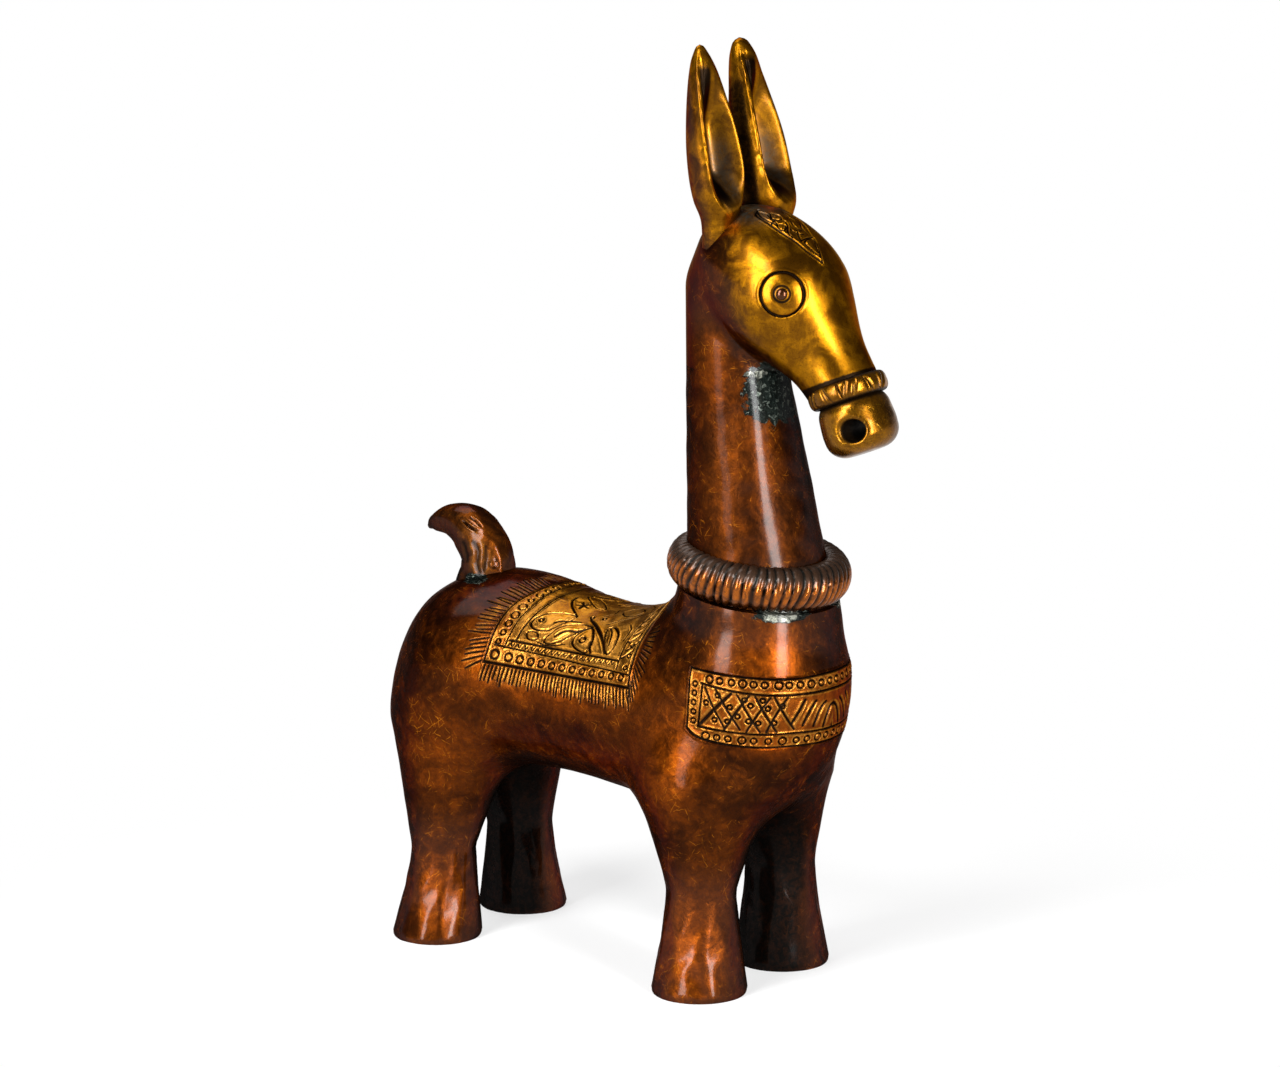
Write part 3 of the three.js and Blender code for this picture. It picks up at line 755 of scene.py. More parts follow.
@dataclass
class Relief:
    """What chasing does to points of a chart."""

    ab: Array

    def __post_init__(self) -> None:
        """Start with an untouched surface."""
        count = len(self.ab)
        self.cut = np.zeros(count)
        self.burr = np.zeros(count)
        self.raised = np.zeros(count)
        self.groove = np.zeros(count)

    def near(self, low: Array, high: Array, margin: float) -> Array:
        """Numbers of the points inside a box."""
        inside = np.all((self.ab > low - margin) & (self.ab < high + margin), axis=1)
        return np.nonzero(inside)[0]

    def work(self, strokes: Sequence[Stroke], punches: Sequence[Punch] = ()) -> None:
        """Engrave lines and punch rings.

        Args:
            strokes: The lines.
            punches: The rings.
        """
        for stroke in strokes:
            self.stroke(stroke)
        for punch in punches:
            self.punch(punch)

    def strike(self, chosen: Array, off: Array, width: float, depth: Array | float) -> None:
        """Cut a groove with burrs along it.

        Args:
            chosen: Numbers of the points.
            off: Their distances from the groove's middle.
            width: The groove's half width.
            depth: Its depth.
        """
        notch = hill(off, width)
        burr = hill(off - 2.0 * width, 0.9 * width)
        self.cut[chosen] = np.maximum(self.cut[chosen], depth * notch)
        self.burr[chosen] = np.maximum(self.burr[chosen], depth * 0.42 * burr)
        self.groove[chosen] = np.maximum(self.groove[chosen], notch)

    def stroke(self, stroke: Stroke) -> None:
        """Engrave a line.

        Args:
            stroke: The line with its width and depth.
        """
        line = drawn(stroke.points, stroke.closed)
        chosen = self.near(line.min(0), line.max(0), stroke.width * 4)
        p = self.ab[chosen]
        best = np.full(len(p), 1e9)
        along = np.zeros(len(p))
        crossings = np.zeros(len(p), int)
        for n, (a, b) in enumerate(zip(line, line[1:])):
            way = b - a
            t = np.clip((p - a) @ way / max(way @ way, 1e-12), 0, 1)
            off = np.linalg.norm(p - a - t[:, None] * way, axis=1)
            closer = off < best
            best = np.where(closer, off, best)
            along = np.where(closer, (n + t) / (len(line) - 1), along)
            spans = (a[1] > p[:, 1]) != (b[1] > p[:, 1])
            reach = a[0] + (p[:, 1] - a[1]) * way[0] / (way[1] if abs(way[1]) > 1e-12 else 1e-12)
            crossings += spans & (p[:, 0] < reach)
        depth = stroke.depth * (np.sqrt(np.clip(np.sin(np.pi * along), 0.0, 1.0)) if stroke.taper else 1.0)
        self.strike(chosen, best, stroke.width, depth)
        if stroke.swell:
            inside = np.where(crossings % 2 == 1, smoothstep(0.0, 2.2, best), 0.0)
            self.raised[chosen] = np.maximum(self.raised[chosen], stroke.swell * inside)

    def punch(self, punch: Punch) -> None:
        """Punch a ring.

        Args:
            punch: The ring with its width and depth.
        """
        at = np.array(punch.at)
        chosen = self.near(at, at, punch.radius + punch.width * 4)
        off = np.linalg.norm(self.ab[chosen] - at, axis=1)
        self.strike(chosen, np.abs(off - punch.radius), punch.width, punch.depth)
        bead = 0.22 * smoothstep(punch.radius, 0.0, off)
        self.raised[chosen] = np.maximum(self.raised[chosen], bead)

    @property
    def ridge(self) -> Array:
        """How much each point lies on a burr."""
        return np.clip(self.burr / BURR, 0, 1)

    @property
    def height(self) -> Array:
        """How far each point moves outwards."""
        return self.raised + self.burr * (1 - np.clip(self.groove, 0, 1)) - self.cut


def wobble(number: int, salt: float) -> float:
    """An uneven number between -1 and 1, the same on every run."""
    return math.sin(number * 12.9898 + salt * 78.233) * math.cos(number * 4.1414 + salt)


@dataclass
class SaddleCloth:
    """The cloth chased into the back; its chart is X and the way round the barrel from the spine."""

    axis: float = 92.0
    round_by: float = 34.0
    hem: float = 40.9
    rear_edge: Points = ((-21.7, -3.0), (-22.2, 0.0), (-23.3, 6.1), (-24.6, 12.4), (-26.4, 18.5), (-27.4, 25.0))
    rear_edge_low: Points = ((-27.6, 32.5), (-27.6, 37.0), (-28.0, 40.9))
    front_edge: Points = (
        *((35.0, -3.0), (34.6, 6.0), (34.2, 13.6), (33.2, 18.0)),
        *((32.5, 25.0), (32.9, 33.0), (34.1, 40.9)),
    )

    @property
    def rear(self) -> Array:
        """The whole rear edge."""
        return np.array([*self.rear_edge, *self.rear_edge_low])

    def chart(self, p: Array) -> Array:
        """Chart coordinates of points, the same on both sides."""
        return np.stack([p[:, 0], self.round_by * np.arctan2(np.abs(p[:, 1]), p[:, 2] - self.axis)], axis=1)

    def zone(self, p: Array) -> Array:
        """Points that the cloth or its fringe may touch.

        Args:
            p: Points, one a row.

        Returns:
            One true or false a point.
        """
        ab = self.chart(p)
        used = (ab[:, 0] < 37) | (ab[:, 1] > 18)
        return used & (ab[:, 0] > -39) & (ab[:, 0] < 43.5) & (ab[:, 1] < 49.6) & (p[:, 2] > self.axis)

    def inside(self, ab: Array) -> Array:
        """How much points lie on the cloth.

        Args:
            ab: Chart coordinates, one point a row.

        Returns:
            One share a point.
        """
        front = np.array(self.front_edge)
        low = np.interp(ab[:, 1], self.rear[:, 1], self.rear[:, 0])
        high = np.interp(ab[:, 1], front[:, 1], front[:, 0])
        within = np.minimum(np.minimum(ab[:, 0] - low, high - ab[:, 0]), self.hem - ab[:, 1])
        return smoothstep(-0.3, 0.3, within)

    def worn(self, p: Array) -> Array:
        """How matt points are; the upper front of the cloth has lost its shine.

        Args:
            p: Points, one a row.

        Returns:
            One share a point.
        """
        ab = self.chart(p)
        above = p[:, 2] > self.axis
        return 0.55 * self.inside(ab) * smoothstep(-8, 18, ab[:, 0]) * smoothstep(27, 8, ab[:, 1]) * above

    def borders(self) -> list[Stroke]:
        """The border lines.

        Returns:
            The strokes.
        """
        rear_2 = ((-17.6, -3), (-18.4, 2), (-19.4, 9.7), (-19.9, 15.4), (-20.7, 20.8), (-21.3, 25.8), (-21.6, 35.2))
        rear_3 = ((-13.4, -3), (-14.2, 2.9), (-15.1, 9.4), (-16.2, 16), (-17.3, 22.7), (-18.0, 27.1), (-18.3, 32.2))
        front_2 = ((29.8, -3), (29.6, 8), (29.2, 13.4), (27.6, 17.5), (26.6, 22), (26.4, 28), (26.8, 35.4))
        low = ((-28.0, 40.9), (-10.0, 40.7), (10.0, 40.7), (25.0, 40.8), (34.1, 40.9))
        low_2 = ((-25.5, 34.9), (-11, 34.8), (0, 35.0), (10, 35.5), (20, 36.0), (33.0, 36.8))
        low_3 = ((-20.6, 32.3), (-12.2, 31.9), (-3.4, 31.8), (4.4, 31.7), (13.4, 31.9), (26.5, 32.5))
        lines = [Stroke(self.rear, 0.34, 0.5), Stroke(low, 0.42, 0.6), Stroke(self.front_edge, 0.36, 0.5)]
        lines += [Stroke(rear_2, 0.26), Stroke(rear_3, 0.34, 0.5), Stroke(front_2, 0.28)]
        lines += [Stroke(low_2, 0.26), Stroke(low_3, 0.38, 0.55)]
        return lines

    def leaves(self) -> list[Stroke]:
        """The leaves, stems and their veins in the middle field.

        Returns:
            The strokes.
        """
        leaf_a = ((-2.3, 15.9), (-4.8, 15.7), (-9.7, 17.0), (-13.8, 19.2), (-15.9, 22.0), (-16.1, 24.4), (-14.7, 25.9))
        leaf_a += ((-11.9, 26.1), (-8.5, 25.2), (-6.3, 22.6), (-3.9, 19.6))
        leaf_c = ((6.9, 19.9), (3.0, 19.2), (-1.7, 20.6), (-5.3, 23.1), (-7.3, 26.7), (-8.2, 29.0), (-7.3, 30.3))
        leaf_c += ((-4.9, 30.1), (-1.8, 28.4), (-0.1, 26.3), (3.0, 22.9))
        leaf_b = ((7.1, 20.2), (4.3, 22.3), (2.8, 25.3), (3.2, 28.4), (6.0, 30.3), (10.5, 31.0), (10.9, 26.5))
        leaf_r = ((19.8, 30.6), (21.4, 28.6), (21.4, 25.2), (19.9, 21.7), (15.8, 18.6), (13.9, 20.2), (16.2, 26.5))
        top_1 = ((-7.8, 1.2), (-5.0, -0.2), (0.3, 2.8), (4.0, 7.2), (0.6, 7.9), (-4.1, 4.6))
        top_2 = ((12.8, 8.9), (14.0, 5.6), (18.7, 5.4), (22.7, 8.8), (20.6, 11.2), (16.3, 11.4))
        small = ((-15.6, 28.2), (-14.3, 30.3), (-11.2, 29.9), (-11.4, 27.9), (-13.4, 27.2))
        strokes = [Stroke(points, 0.30, 0.5, True, 0.42) for points in (leaf_a, leaf_b, leaf_c, leaf_r)]
        strokes += [Stroke(points, 0.24, 0.3, True, 0.16) for points in (top_1, top_2)]
        strokes.append(Stroke(small, 0.26, 0.4, True, 0.2))
        veins = (
            (((-8.1, 22.0), (-6.5, 20.5), (-2.9, 18.9), (0.8, 18.3)), 0.34, 0.45),
            (((-4.6, 27.4), (-3.4, 25.5), (-1.1, 23.7), (2.2, 23.1), (4.5, 21.4)), 0.45, 0.45),
            (((10.3, 26.4), (11.1, 29.0), (12.6, 31.2)), 0.36, 0.5),
            (((3.6, 15.9), (7.5, 18.6), (12.4, 22.9), (16.2, 26.9), (18.9, 30.6)), 0.46, 0.62),
            (((14.7, 19.4), (17.6, 22.6), (19.3, 27.5)), 0.26, 0.4),
            (((-10.0, 4.6), (-9.8, 7.8), (-7.7, 11.1), (-4.9, 13.7), (-2.4, 15.8)), 0.30, 0.45),
            (((11.2, 17.2), (15.1, 14.9), (19.2, 13.6), (23.5, 11.6)), 0.24, 0.32),
            (((0.5, -3.0), (5.4, 0.6), (10.7, 1.0), (14.7, 2.9)), 0.24, 0.3),
            (((-10.5, 30.6), (-6.0, 31.1), (0.5, 29.4)), 0.26, 0.4),
            (((7.0, 12.6), (9.6, 9.8), (9.2, 5.6)), 0.22, 0.28),
            (((22.4, 17.2), (24.6, 20.4), (24.2, 25.0)), 0.24, 0.34),
            (((21.8, 3.0), (25.0, 6.0), (26.6, 10.6)), 0.22, 0.3),
        )
        strokes += [Stroke(points, width, depth, taper=True) for points, width, depth in veins]
        for n in range(5):
            turn = 2 * math.pi * n / 5 + 0.3
            tip = (-4.6 + 2.6 * math.cos(turn), 8.6 + 2.6 * math.sin(turn))
            strokes.append(Stroke(((-4.6, 8.6), tip), 0.42, 0.4, taper=True))
        for n in range(7):
            a, b = 26.9 + 0.7 * (n % 2), 11.5 + 3.1 * n
            strokes.append(Stroke(((a, b + 1.6), (a + 2.2, b), (a + 4.4, b - 2.2)), 0.30, 0.42, taper=True))
        for n in range(17):
            a = -20.5 + 2.7 * n
            strokes.append(Stroke(((a, 34.2), (a + 0.8, 32.9), (a + 1.5, 34.1), (a + 2.1, 33.2)), 0.20, 0.30))
        return strokes

    def punches(self) -> list[Punch]:
        """The rings along the hem and the rear edge, and the leaves' eyes.

        Returns:
            The rings.
        """
        rings = [Punch((a, 38.0), 1.35 - 0.028 * n, 0.3) for n, a in enumerate(np.arange(-19.0, 31.0, 4.45))]
        rings.append(Punch((-24.4, 38.0), 1.5, 0.34))
        sides = ((-24.6, 33.6, 0.9), (-24.2, 30.2, 1.0), (-23.9, 26.6, 1.2), (-23.4, 22.9, 1.45), (-22.9, 18.9, 1.45))
        sides += ((-22.2, 14.9, 1.0), (-21.3, 11.0, 1.2), (-20.7, 7.2, 1.0), (-20.2, 3.4, 1.2))
        rings += [Punch((a, b), radius) for a, b, radius in sides]
        rings += [Punch((-13.2, 22.0), 0.75, 0.36, 0.5), Punch((6.7, 26.4), 1.2, 0.3, 0.5)]
        dots = ((3.4, 14.6), (8.3, 14.0), (30.6, 34.6), (30.4, 30.4), (29.8, 26.6))
        rings += [Punch(at, 0.7, 0.26) for at in dots]
        return rings

    def fringe(self) -> list[Stroke]:
        """The threads that hang from the hem and stand off the rear and front edges.

        Returns:
            The strokes.
        """
        threads = []
        for n in range(41):
            a = -27.2 + 1.52 * n
            length = 5.2 + 1.3 * wobble(n, 1.0) + (0.9 if 0 < a < 30 else 0.0)
            lean = 0.045 * a + 0.4 * wobble(n, 2.0)
            threads.append(Stroke(((a, 41.7), (a + lean / 2, 44), (a + lean, 41.7 + length)), 0.30, 0.46, taper=True))
        for n in range(26):
            b = 40.6 - 1.52 * n
            a = float(np.interp(b, self.rear[:, 1], self.rear[:, 0])) - 0.8
            length = 7.4 + 1.8 * wobble(n, 3.0)
            rise = 0.16 * (b - 22.0) + 0.8 * wobble(n, 4.0)
            thread = ((a, b), (a - length / 2, b + rise / 2), (a - length, b + rise))
            threads.append(Stroke(thread, 0.26, 0.34, taper=True))
        for n in range(16):
            turn = math.radians(82.0 - 6.4 * n)
            start = (34.6 + 0.5 * math.cos(turn), max(41.4 - 1.4 * n, 20.0))
            length = (6.6 + 1.2 * wobble(n, 5.0)) * (1.0 - 0.03 * n)
            tip = (start[0] + length * math.cos(turn), start[1] + length * math.sin(turn))
            threads.append(Stroke((start, tip), 0.26, 0.34, taper=True))
        return threads

    def chase(self, p: Array) -> tuple[Array, Array, Array, Array]:
        """Chase points of the body.

        Args:
            p: Points, one a row.

        Returns:
            Height and the masks of grooves, gilt and warm copper, one of each a point.
        """
        ab = self.chart(p)
        relief = Relief(ab)
        relief.work((*self.borders(), *self.leaves(), *self.fringe()), self.punches())
        inside = self.inside(ab)
        hem = smoothstep(41.2, 42.0, ab[:, 1]) * smoothstep(49.0, 45.0, ab[:, 1])
        hem *= smoothstep(-30.0, -18.0, ab[:, 0]) * smoothstep(39.0, 33.0, ab[:, 0])
        border = np.maximum(smoothstep(35.6, 36.4, ab[:, 1]), smoothstep(-21.0, -22.5, ab[:, 0]))
        ridge = relief.ridge
        leaf = np.clip(relief.raised / 0.25, 0, 1)
        gilt = inside * (0.74 + 0.26 * leaf - 0.46 * border) + inside * 0.42 * ridge + hem * (0.10 + 0.70 * ridge)
        gilt = np.maximum(gilt, 0.32 * ridge)
        warm = np.maximum(0.34 * inside * border, 0.25 * hem)
        return relief.height + 0.12 * inside, relief.groove, np.clip(gilt, 0, 1), warm


@dataclass
class ChestBand:
    """The band chased round the chest; its chart is the way round from the front, and Z."""

    axis: float = 57.6
    round_by: float = 33.0
    top: Points = ((-6.0, 113.2), (4.6, 113.3), (14.7, 113.0), (28.5, 113.8), (41.7, 114.7), (49.9, 115.4))
    low: Points = ((-6.0, 89.2), (5.0, 89.2), (13.7, 89.4), (26.5, 89.6), (36.4, 90.6), (45.6, 92.6), (49.6, 95.4))

    def chart(self, p: Array) -> Array:
        """Chart coordinates of points, the same on both sides."""
        return np.stack([self.round_by * np.arctan2(np.abs(p[:, 1]), p[:, 0] - self.axis), p[:, 2]], axis=1)

    def zone(self, p: Array) -> Array:
        """Points that the band may touch."""
        ab = self.chart(p)
        return (ab[:, 0] < 51) & (ab[:, 1] > 87.6) & (ab[:, 1] < 117) & (p[:, 0] > 50)

    def strokes(self) -> list[Stroke]:
        """The border lines, the lattice and the slanted strokes.

        Returns:
            The strokes.
        """
        top_2 = ((-6, 107.8), (9.3, 107.6), (20.1, 107.8), (30.2, 108.7), (38.3, 109.8), (45.0, 110.9))
        low_2 = ((-6, 94.0), (7.0, 93.9), (14.3, 94.1), (26.7, 94.3), (36.4, 95.1), (45.9, 96.3))
        lines = [Stroke(self.top, 0.30, 0.45), Stroke(self.low, 0.34, 0.5), Stroke(top_2, 0.32, 0.5)]
        lines += [Stroke(low_2, 0.32, 0.5), Stroke(((49.9, 115.4), (49.4, 104.3), (49.6, 95.4)), 0.30, 0.45)]
        lines.append(Stroke(((44.6, 110.8), (45.0, 103.0), (45.7, 96.4)), 0.32, 0.5))
        crosses = (
            (44.9, 97.0, 34.4, 108.4, 0.5),
            (43.6, 109.9, 36.6, 96.2, 0.34),
            (39.6, 109.4, 31.6, 96.0, 0.36),
            (36.6, 95.8, 28.7, 107.9, 0.42),
            (32.6, 108.2, 25.4, 95.2, 0.34),
            (29.6, 95.2, 22.2, 107.2, 0.36),
            (26.9, 107.6, 20.2, 95.1, 0.36),
            (23.4, 95.1, 17.0, 106.9, 0.40),
            (21.0, 107.2, 14.6, 95.6, 0.34),
        )
        for a0, z0, a1, z1, width in crosses:
            lines.append(Stroke(((a0, z0), ((a0 + a1) / 2 + 0.3, (z0 + z1) / 2), (a1, z1)), width, 0.55, taper=True))
        for n in range(5):
            a = 15.6 - 3.9 * n
            slanted = ((a, 97.4 - 0.8 * n), (a - 2.2, 101.2), (a - 4.4, 105.6 - 0.9 * n))
            lines.append(Stroke(slanted, 0.46, 0.6, taper=True))
        return lines

    def punches(self) -> list[Punch]:
        """The rows of rings and the dots in the lattice.

        Returns:
            The rings.
        """
        rings = []
        top = (42.0, 38.4, 34.4, 30.8, 27.4, 24.0, 19.6, 16.4, 12.8, 9.0, 5.2, 1.6)
        for n, a in enumerate(top):
            rings.append(Punch((a, 110.6 + 0.055 * max(a - 8.0, 0.0)), 1.05 if n % 3 else 1.25, 0.26))
        low = (42.9, 39.2, 35.5, 31.0, 27.2, 22.6, 18.0, 13.4, 9.6, 5.4, 1.8)
        for n, a in enumerate(low):
            rings.append(Punch((a, 91.6 + 0.0017 * max(a - 12.0, 0.0) ** 2), 1.0 if n % 3 else 1.25, 0.26))
        rings += [Punch((47.4, 110.4 - 3.1 * n), 0.85, 0.26) for n in range(5)]
        dots = ((38.9, 107.4), (42.9, 104.6), (39.9, 99.0), (34.9, 103.6), (32.4, 100.6), (35.6, 98.6), (28.3, 104.4))
        dots += ((28.9, 99.0), (23.0, 103.4), (25.9, 98.3), (18.6, 104.0), (21.0, 98.3), (30.2, 106.3), (24.6, 106.2))
        rings += [Punch(at, 0.8, 0.28, 0.45) for at in dots]
        return rings

    def chase(self, p: Array) -> tuple[Array, Array, Array, Array]:
        """Chase points of the body.

        Args:
            p: Points, one a row.

        Returns:
            Height and the masks of grooves, gilt and warm copper, one of each a point.
        """
        ab = self.chart(p)
        relief = Relief(ab)
        relief.work(self.strokes(), self.punches())
        top, low = np.array(self.top), np.array(self.low)
        high = np.interp(ab[:, 0], top[:, 0], top[:, 1]) - ab[:, 1]
        deep = ab[:, 1] - np.interp(ab[:, 0], low[:, 0], low[:, 1])
        inside = smoothstep(-0.4, 0.4, np.minimum(np.minimum(high, deep), 49.7 - ab[:, 0]))
        ridge = relief.ridge
        gilt = inside * (0.05 + 0.62 * ridge)
        return relief.height + 0.1 * inside, relief.groove, np.clip(gilt, 0, 1), 0.30 * inside


@dataclass
class ForeheadLeaf:
    """The pointed leaf chased into the forehead; its chart is the way down the forehead, and Y."""

    root: tuple[float, float, float] = (59.4, 0.0, 266.4)
    way: tuple[float, float, float] = (0.917, 0.0, -0.398)
    left: Points = ((6.0, -4.5), (7.9, -7.5), (14.5, -8.3), (20.2, -8.2), (25.3, -7.3), (30.8, -6.2), (35.8, -3.5))
    right: Points = ((8.0, 6.0), (14.9, 4.7), (21.0, 2.7), (24.9, 0.9), (27.8, 0.4), (32.6, -1.9), (35.8, -3.5))

    def chart(self, p: Array) -> Array:
        """Chart coordinates of points."""
        return np.stack([(p - self.root) @ self.way, p[:, 1]], axis=1)

    def zone(self, p: Array) -> Array:
        """Points that the leaf may touch."""
        ab = self.chart(p)
        return (ab[:, 0] > 3) & (ab[:, 0] < 38) & (ab[:, 1] > -10.5) & (ab[:, 1] < 8) & (p[:, 2] > 249)

    def strokes(self) -> list[Stroke]:
        """The outline, the petals and the small cuts between them.

        Returns:
            The strokes.
        """
        petals = (
            ((7.0, -5.6), (9.5, -7.2), (13.0, -7.4), (16.2, -6.5), (13.2, -6.0), (10.0, -5.0)),
            ((10.5, -3.6), (12.9, -5.6), (15.0, -4.2), (14.6, -2.8), (12.4, -2.4)),
            ((16.4, -6.8), (17.4, -5.0), (19.2, -5.4), (19.6, -7.2), (18.0, -7.6)),
            ((27.2, -4.4), (27.2, -0.4), (30.6, -1.8), (33.6, -3.2), (30.4, -4.4)),
        )
        cuts = (
            ((14.9, -8.0), (14.2, -5.6), (16.0, -3.2), (18.6, -4.2), (21.2, -6.6), (23.8, -7.0)),
            ((26.4, -5.8), (26.2, -2.6), (26.6, 0.4)),
            ((17.5, -1.2), (20.0, -2.3), (22.6, -1.6)),
            ((19.5, 1.6), (22.0, -0.2), (25.0, -0.6)),
            ((22.0, -3.2), (24.2, -4.4), (26.0, -5.2)),
            ((12.0, 1.2), (15.5, 0.6), (18.5, 1.4)),
            ((9.5, 3.6), (13.0, 3.0), (16.5, 3.2)),
            ((20.4, -4.8), (22.4, -4.4), (24.4, -2.4)),
        )
        lines = [Stroke(self.left, 0.34, 0.5), Stroke(self.right, 0.28, 0.4)]
        lines += [Stroke(points, 0.26, 0.42, True, 0.34) for points in petals]
        return lines + [Stroke(points, 0.28, 0.42, taper=True) for points in cuts]

    def chase(self, p: Array) -> tuple[Array, Array, Array]:
        """Chase points of the forehead.

        Args:
            p: Points, one a row.

        Returns:
            Height, groove mask and how much each point lies in the leaf.
        """
        ab = self.chart(p)
        relief = Relief(ab)
        relief.work(self.strokes())
        left, right = np.array(self.left), np.array(self.right)
        low, high = (np.interp(ab[:, 0], side[:, 0], side[:, 1]) for side in (left, right))
        inside = smoothstep(0.0, 0.6, np.minimum(ab[:, 1] - low, high - ab[:, 1])) * (ab[:, 0] > 6)
        return relief.height, relief.groove, inside * (1 - relief.ridge)


# Traces of the hand: rubbed warm places that also carry a painted glow, filed planes and slow waves


@dataclass(frozen=True)
class RubAndGlow:
    """A place rubbed back to orange copper that also carries a painted glow, the same on both sides."""

    middle: tuple[float, float, float]
    reach: tuple[float, float, float]
    strength: float


# rubbed copper and painted glow: each place brightens the patina towards bright orange
RUBS_AND_GLOWS = (
    RubAndGlow((86.0, 20.0, 120.0), (10.0, 8.0, 8.0), 0.36),
    RubAndGlow((86.0, 24.0, 91.0), (8.0, 10.0, 4.0), 0.7),
    RubAndGlow((78.0, 27.0, 104.0), (14.0, 12.0, 7.0), 0.35),
    RubAndGlow((-27.0, 33.0, 106.0), (12.0, 10.0, 12.0), 0.30),
    RubAndGlow((0.0, 34.0, 98.0), (26.0, 10.0, 6.0), 0.28),
    RubAndGlow((30.0, 30.0, 108.0), (13.0, 10.0, 12.0), 0.26),
    RubAndGlow((-46.0, 36.0, 72.0), (14.0, 12.0, 18.0), 0.16),
    RubAndGlow((52.0, 36.0, 84.0), (14.0, 12.0, 18.0), 0.20),
    RubAndGlow((20.0, 28.0, 76.0), (22.0, 10.0, 8.0), 0.16),
    RubAndGlow((71.0, 17.0, 172.0), (8.0, 8.0, 30.0), 0.05),
    RubAndGlow((56.0, 17.0, 208.0), (7.0, 7.0, 14.0), 0.12),
    RubAndGlow((-52.0, 33.0, 18.0), (12.0, 12.0, 16.0), 0.20),
    RubAndGlow((62.0, 35.0, 20.0), (12.0, 12.0, 18.0), 0.22),
)


def warmth(p: Array) -> Array:
    """How far each point is rubbed back to orange copper, with a painted glow in the same places.

    Args:
        p: Points, one a row.

    Returns:
        One share a point.
    """
    total = np.zeros(len(p))
    q = p * [1.0, np.nan, 1.0]
    q[:, 1] = np.abs(p[:, 1])
    for rub_and_glow in RUBS_AND_GLOWS:
        off = np.linalg.norm((q - rub_and_glow.middle) / rub_and_glow.reach, axis=1)
        total = np.maximum(total, rub_and_glow.strength * np.exp(-(off**2)))
    return total


def facets(p: Array, castings: Castings) -> Array:
    """Height of the long planes that the file has left round the feet.

    Args:
        p: Points, one a row.
        castings: The master forms, for the places of the feet.

    Returns:
        One height a point, all below zero.
    """
    height = np.zeros(len(p))
    for number, leg in enumerate((castings.front_leg, castings.rear_leg)):
        x, y, radius = leg.section(np.minimum(p[:, 2], 60.0))
        own = (p[:, 0] > 0) == (number == 0)
        turn = np.arctan2(np.abs(p[:, 1]) - y, p[:, 0] - x)
        for n in range(30):
            z = 6.0 + 12.0 * (n % 3) + 4.0 * wobble(n, 2.0 + number)
            middle = 2 * math.pi / 10 * (n // 3) + 0.5 * wobble(n + 31 * number, 1.0)
            off = (turn - middle - 0.028 * wobble(n, 3.0) * (p[:, 2] - z) + math.pi) % (2 * math.pi) - math.pi
            deep = (0.36 + 0.14 * wobble(n, 5.0)) * np.exp(-(((p[:, 2] - z) / (9.0 + 3.0 * wobble(n, 4.0))) ** 4))
            height = np.where(own, np.minimum(height, -np.maximum(deep - radius * (1 - np.cos(off)), 0.0)), height)
    return height * smoothstep(46.0, 34.0, p[:, 2]) * smoothstep(-0.5, 2.0, p[:, 2])


def lean_sides(p: Array, castings: Castings) -> Array:
    """How thin the lacquer is on the flanks of the neck.

    Args:
        p: Points, one a row.
        castings: The master forms, for the middle of the neck.

    Returns:
        One share a point.
    """
    low, high = castings.neck_foot, castings.neck_top
    middle = np.interp(p[:, 2], (low.z, high.z), (low.x, high.x))
    turn = np.degrees(np.arctan2(np.abs(p[:, 1]), p[:, 0] - middle))
    return 0.85 * smoothstep(52.0, 72.0, turn)


def waves(p: Array) -> Array:
    """Height of the slow waves that filing leaves all over the casting.

    Args:
        p: Points, one a row.

    Returns:
        One height a point.
    """
    x, y, z = p.T
    slow = np.sin(0.21 * x + 0.13 * z + 0.6) * np.sin(0.17 * y - 0.19 * z + 1.0)
    quick = np.sin(0.43 * x - 0.29 * z) * np.sin(0.39 * y + 0.33 * z + 2.0)
    return 0.10 * slow + 0.045 * quick


# The pieces


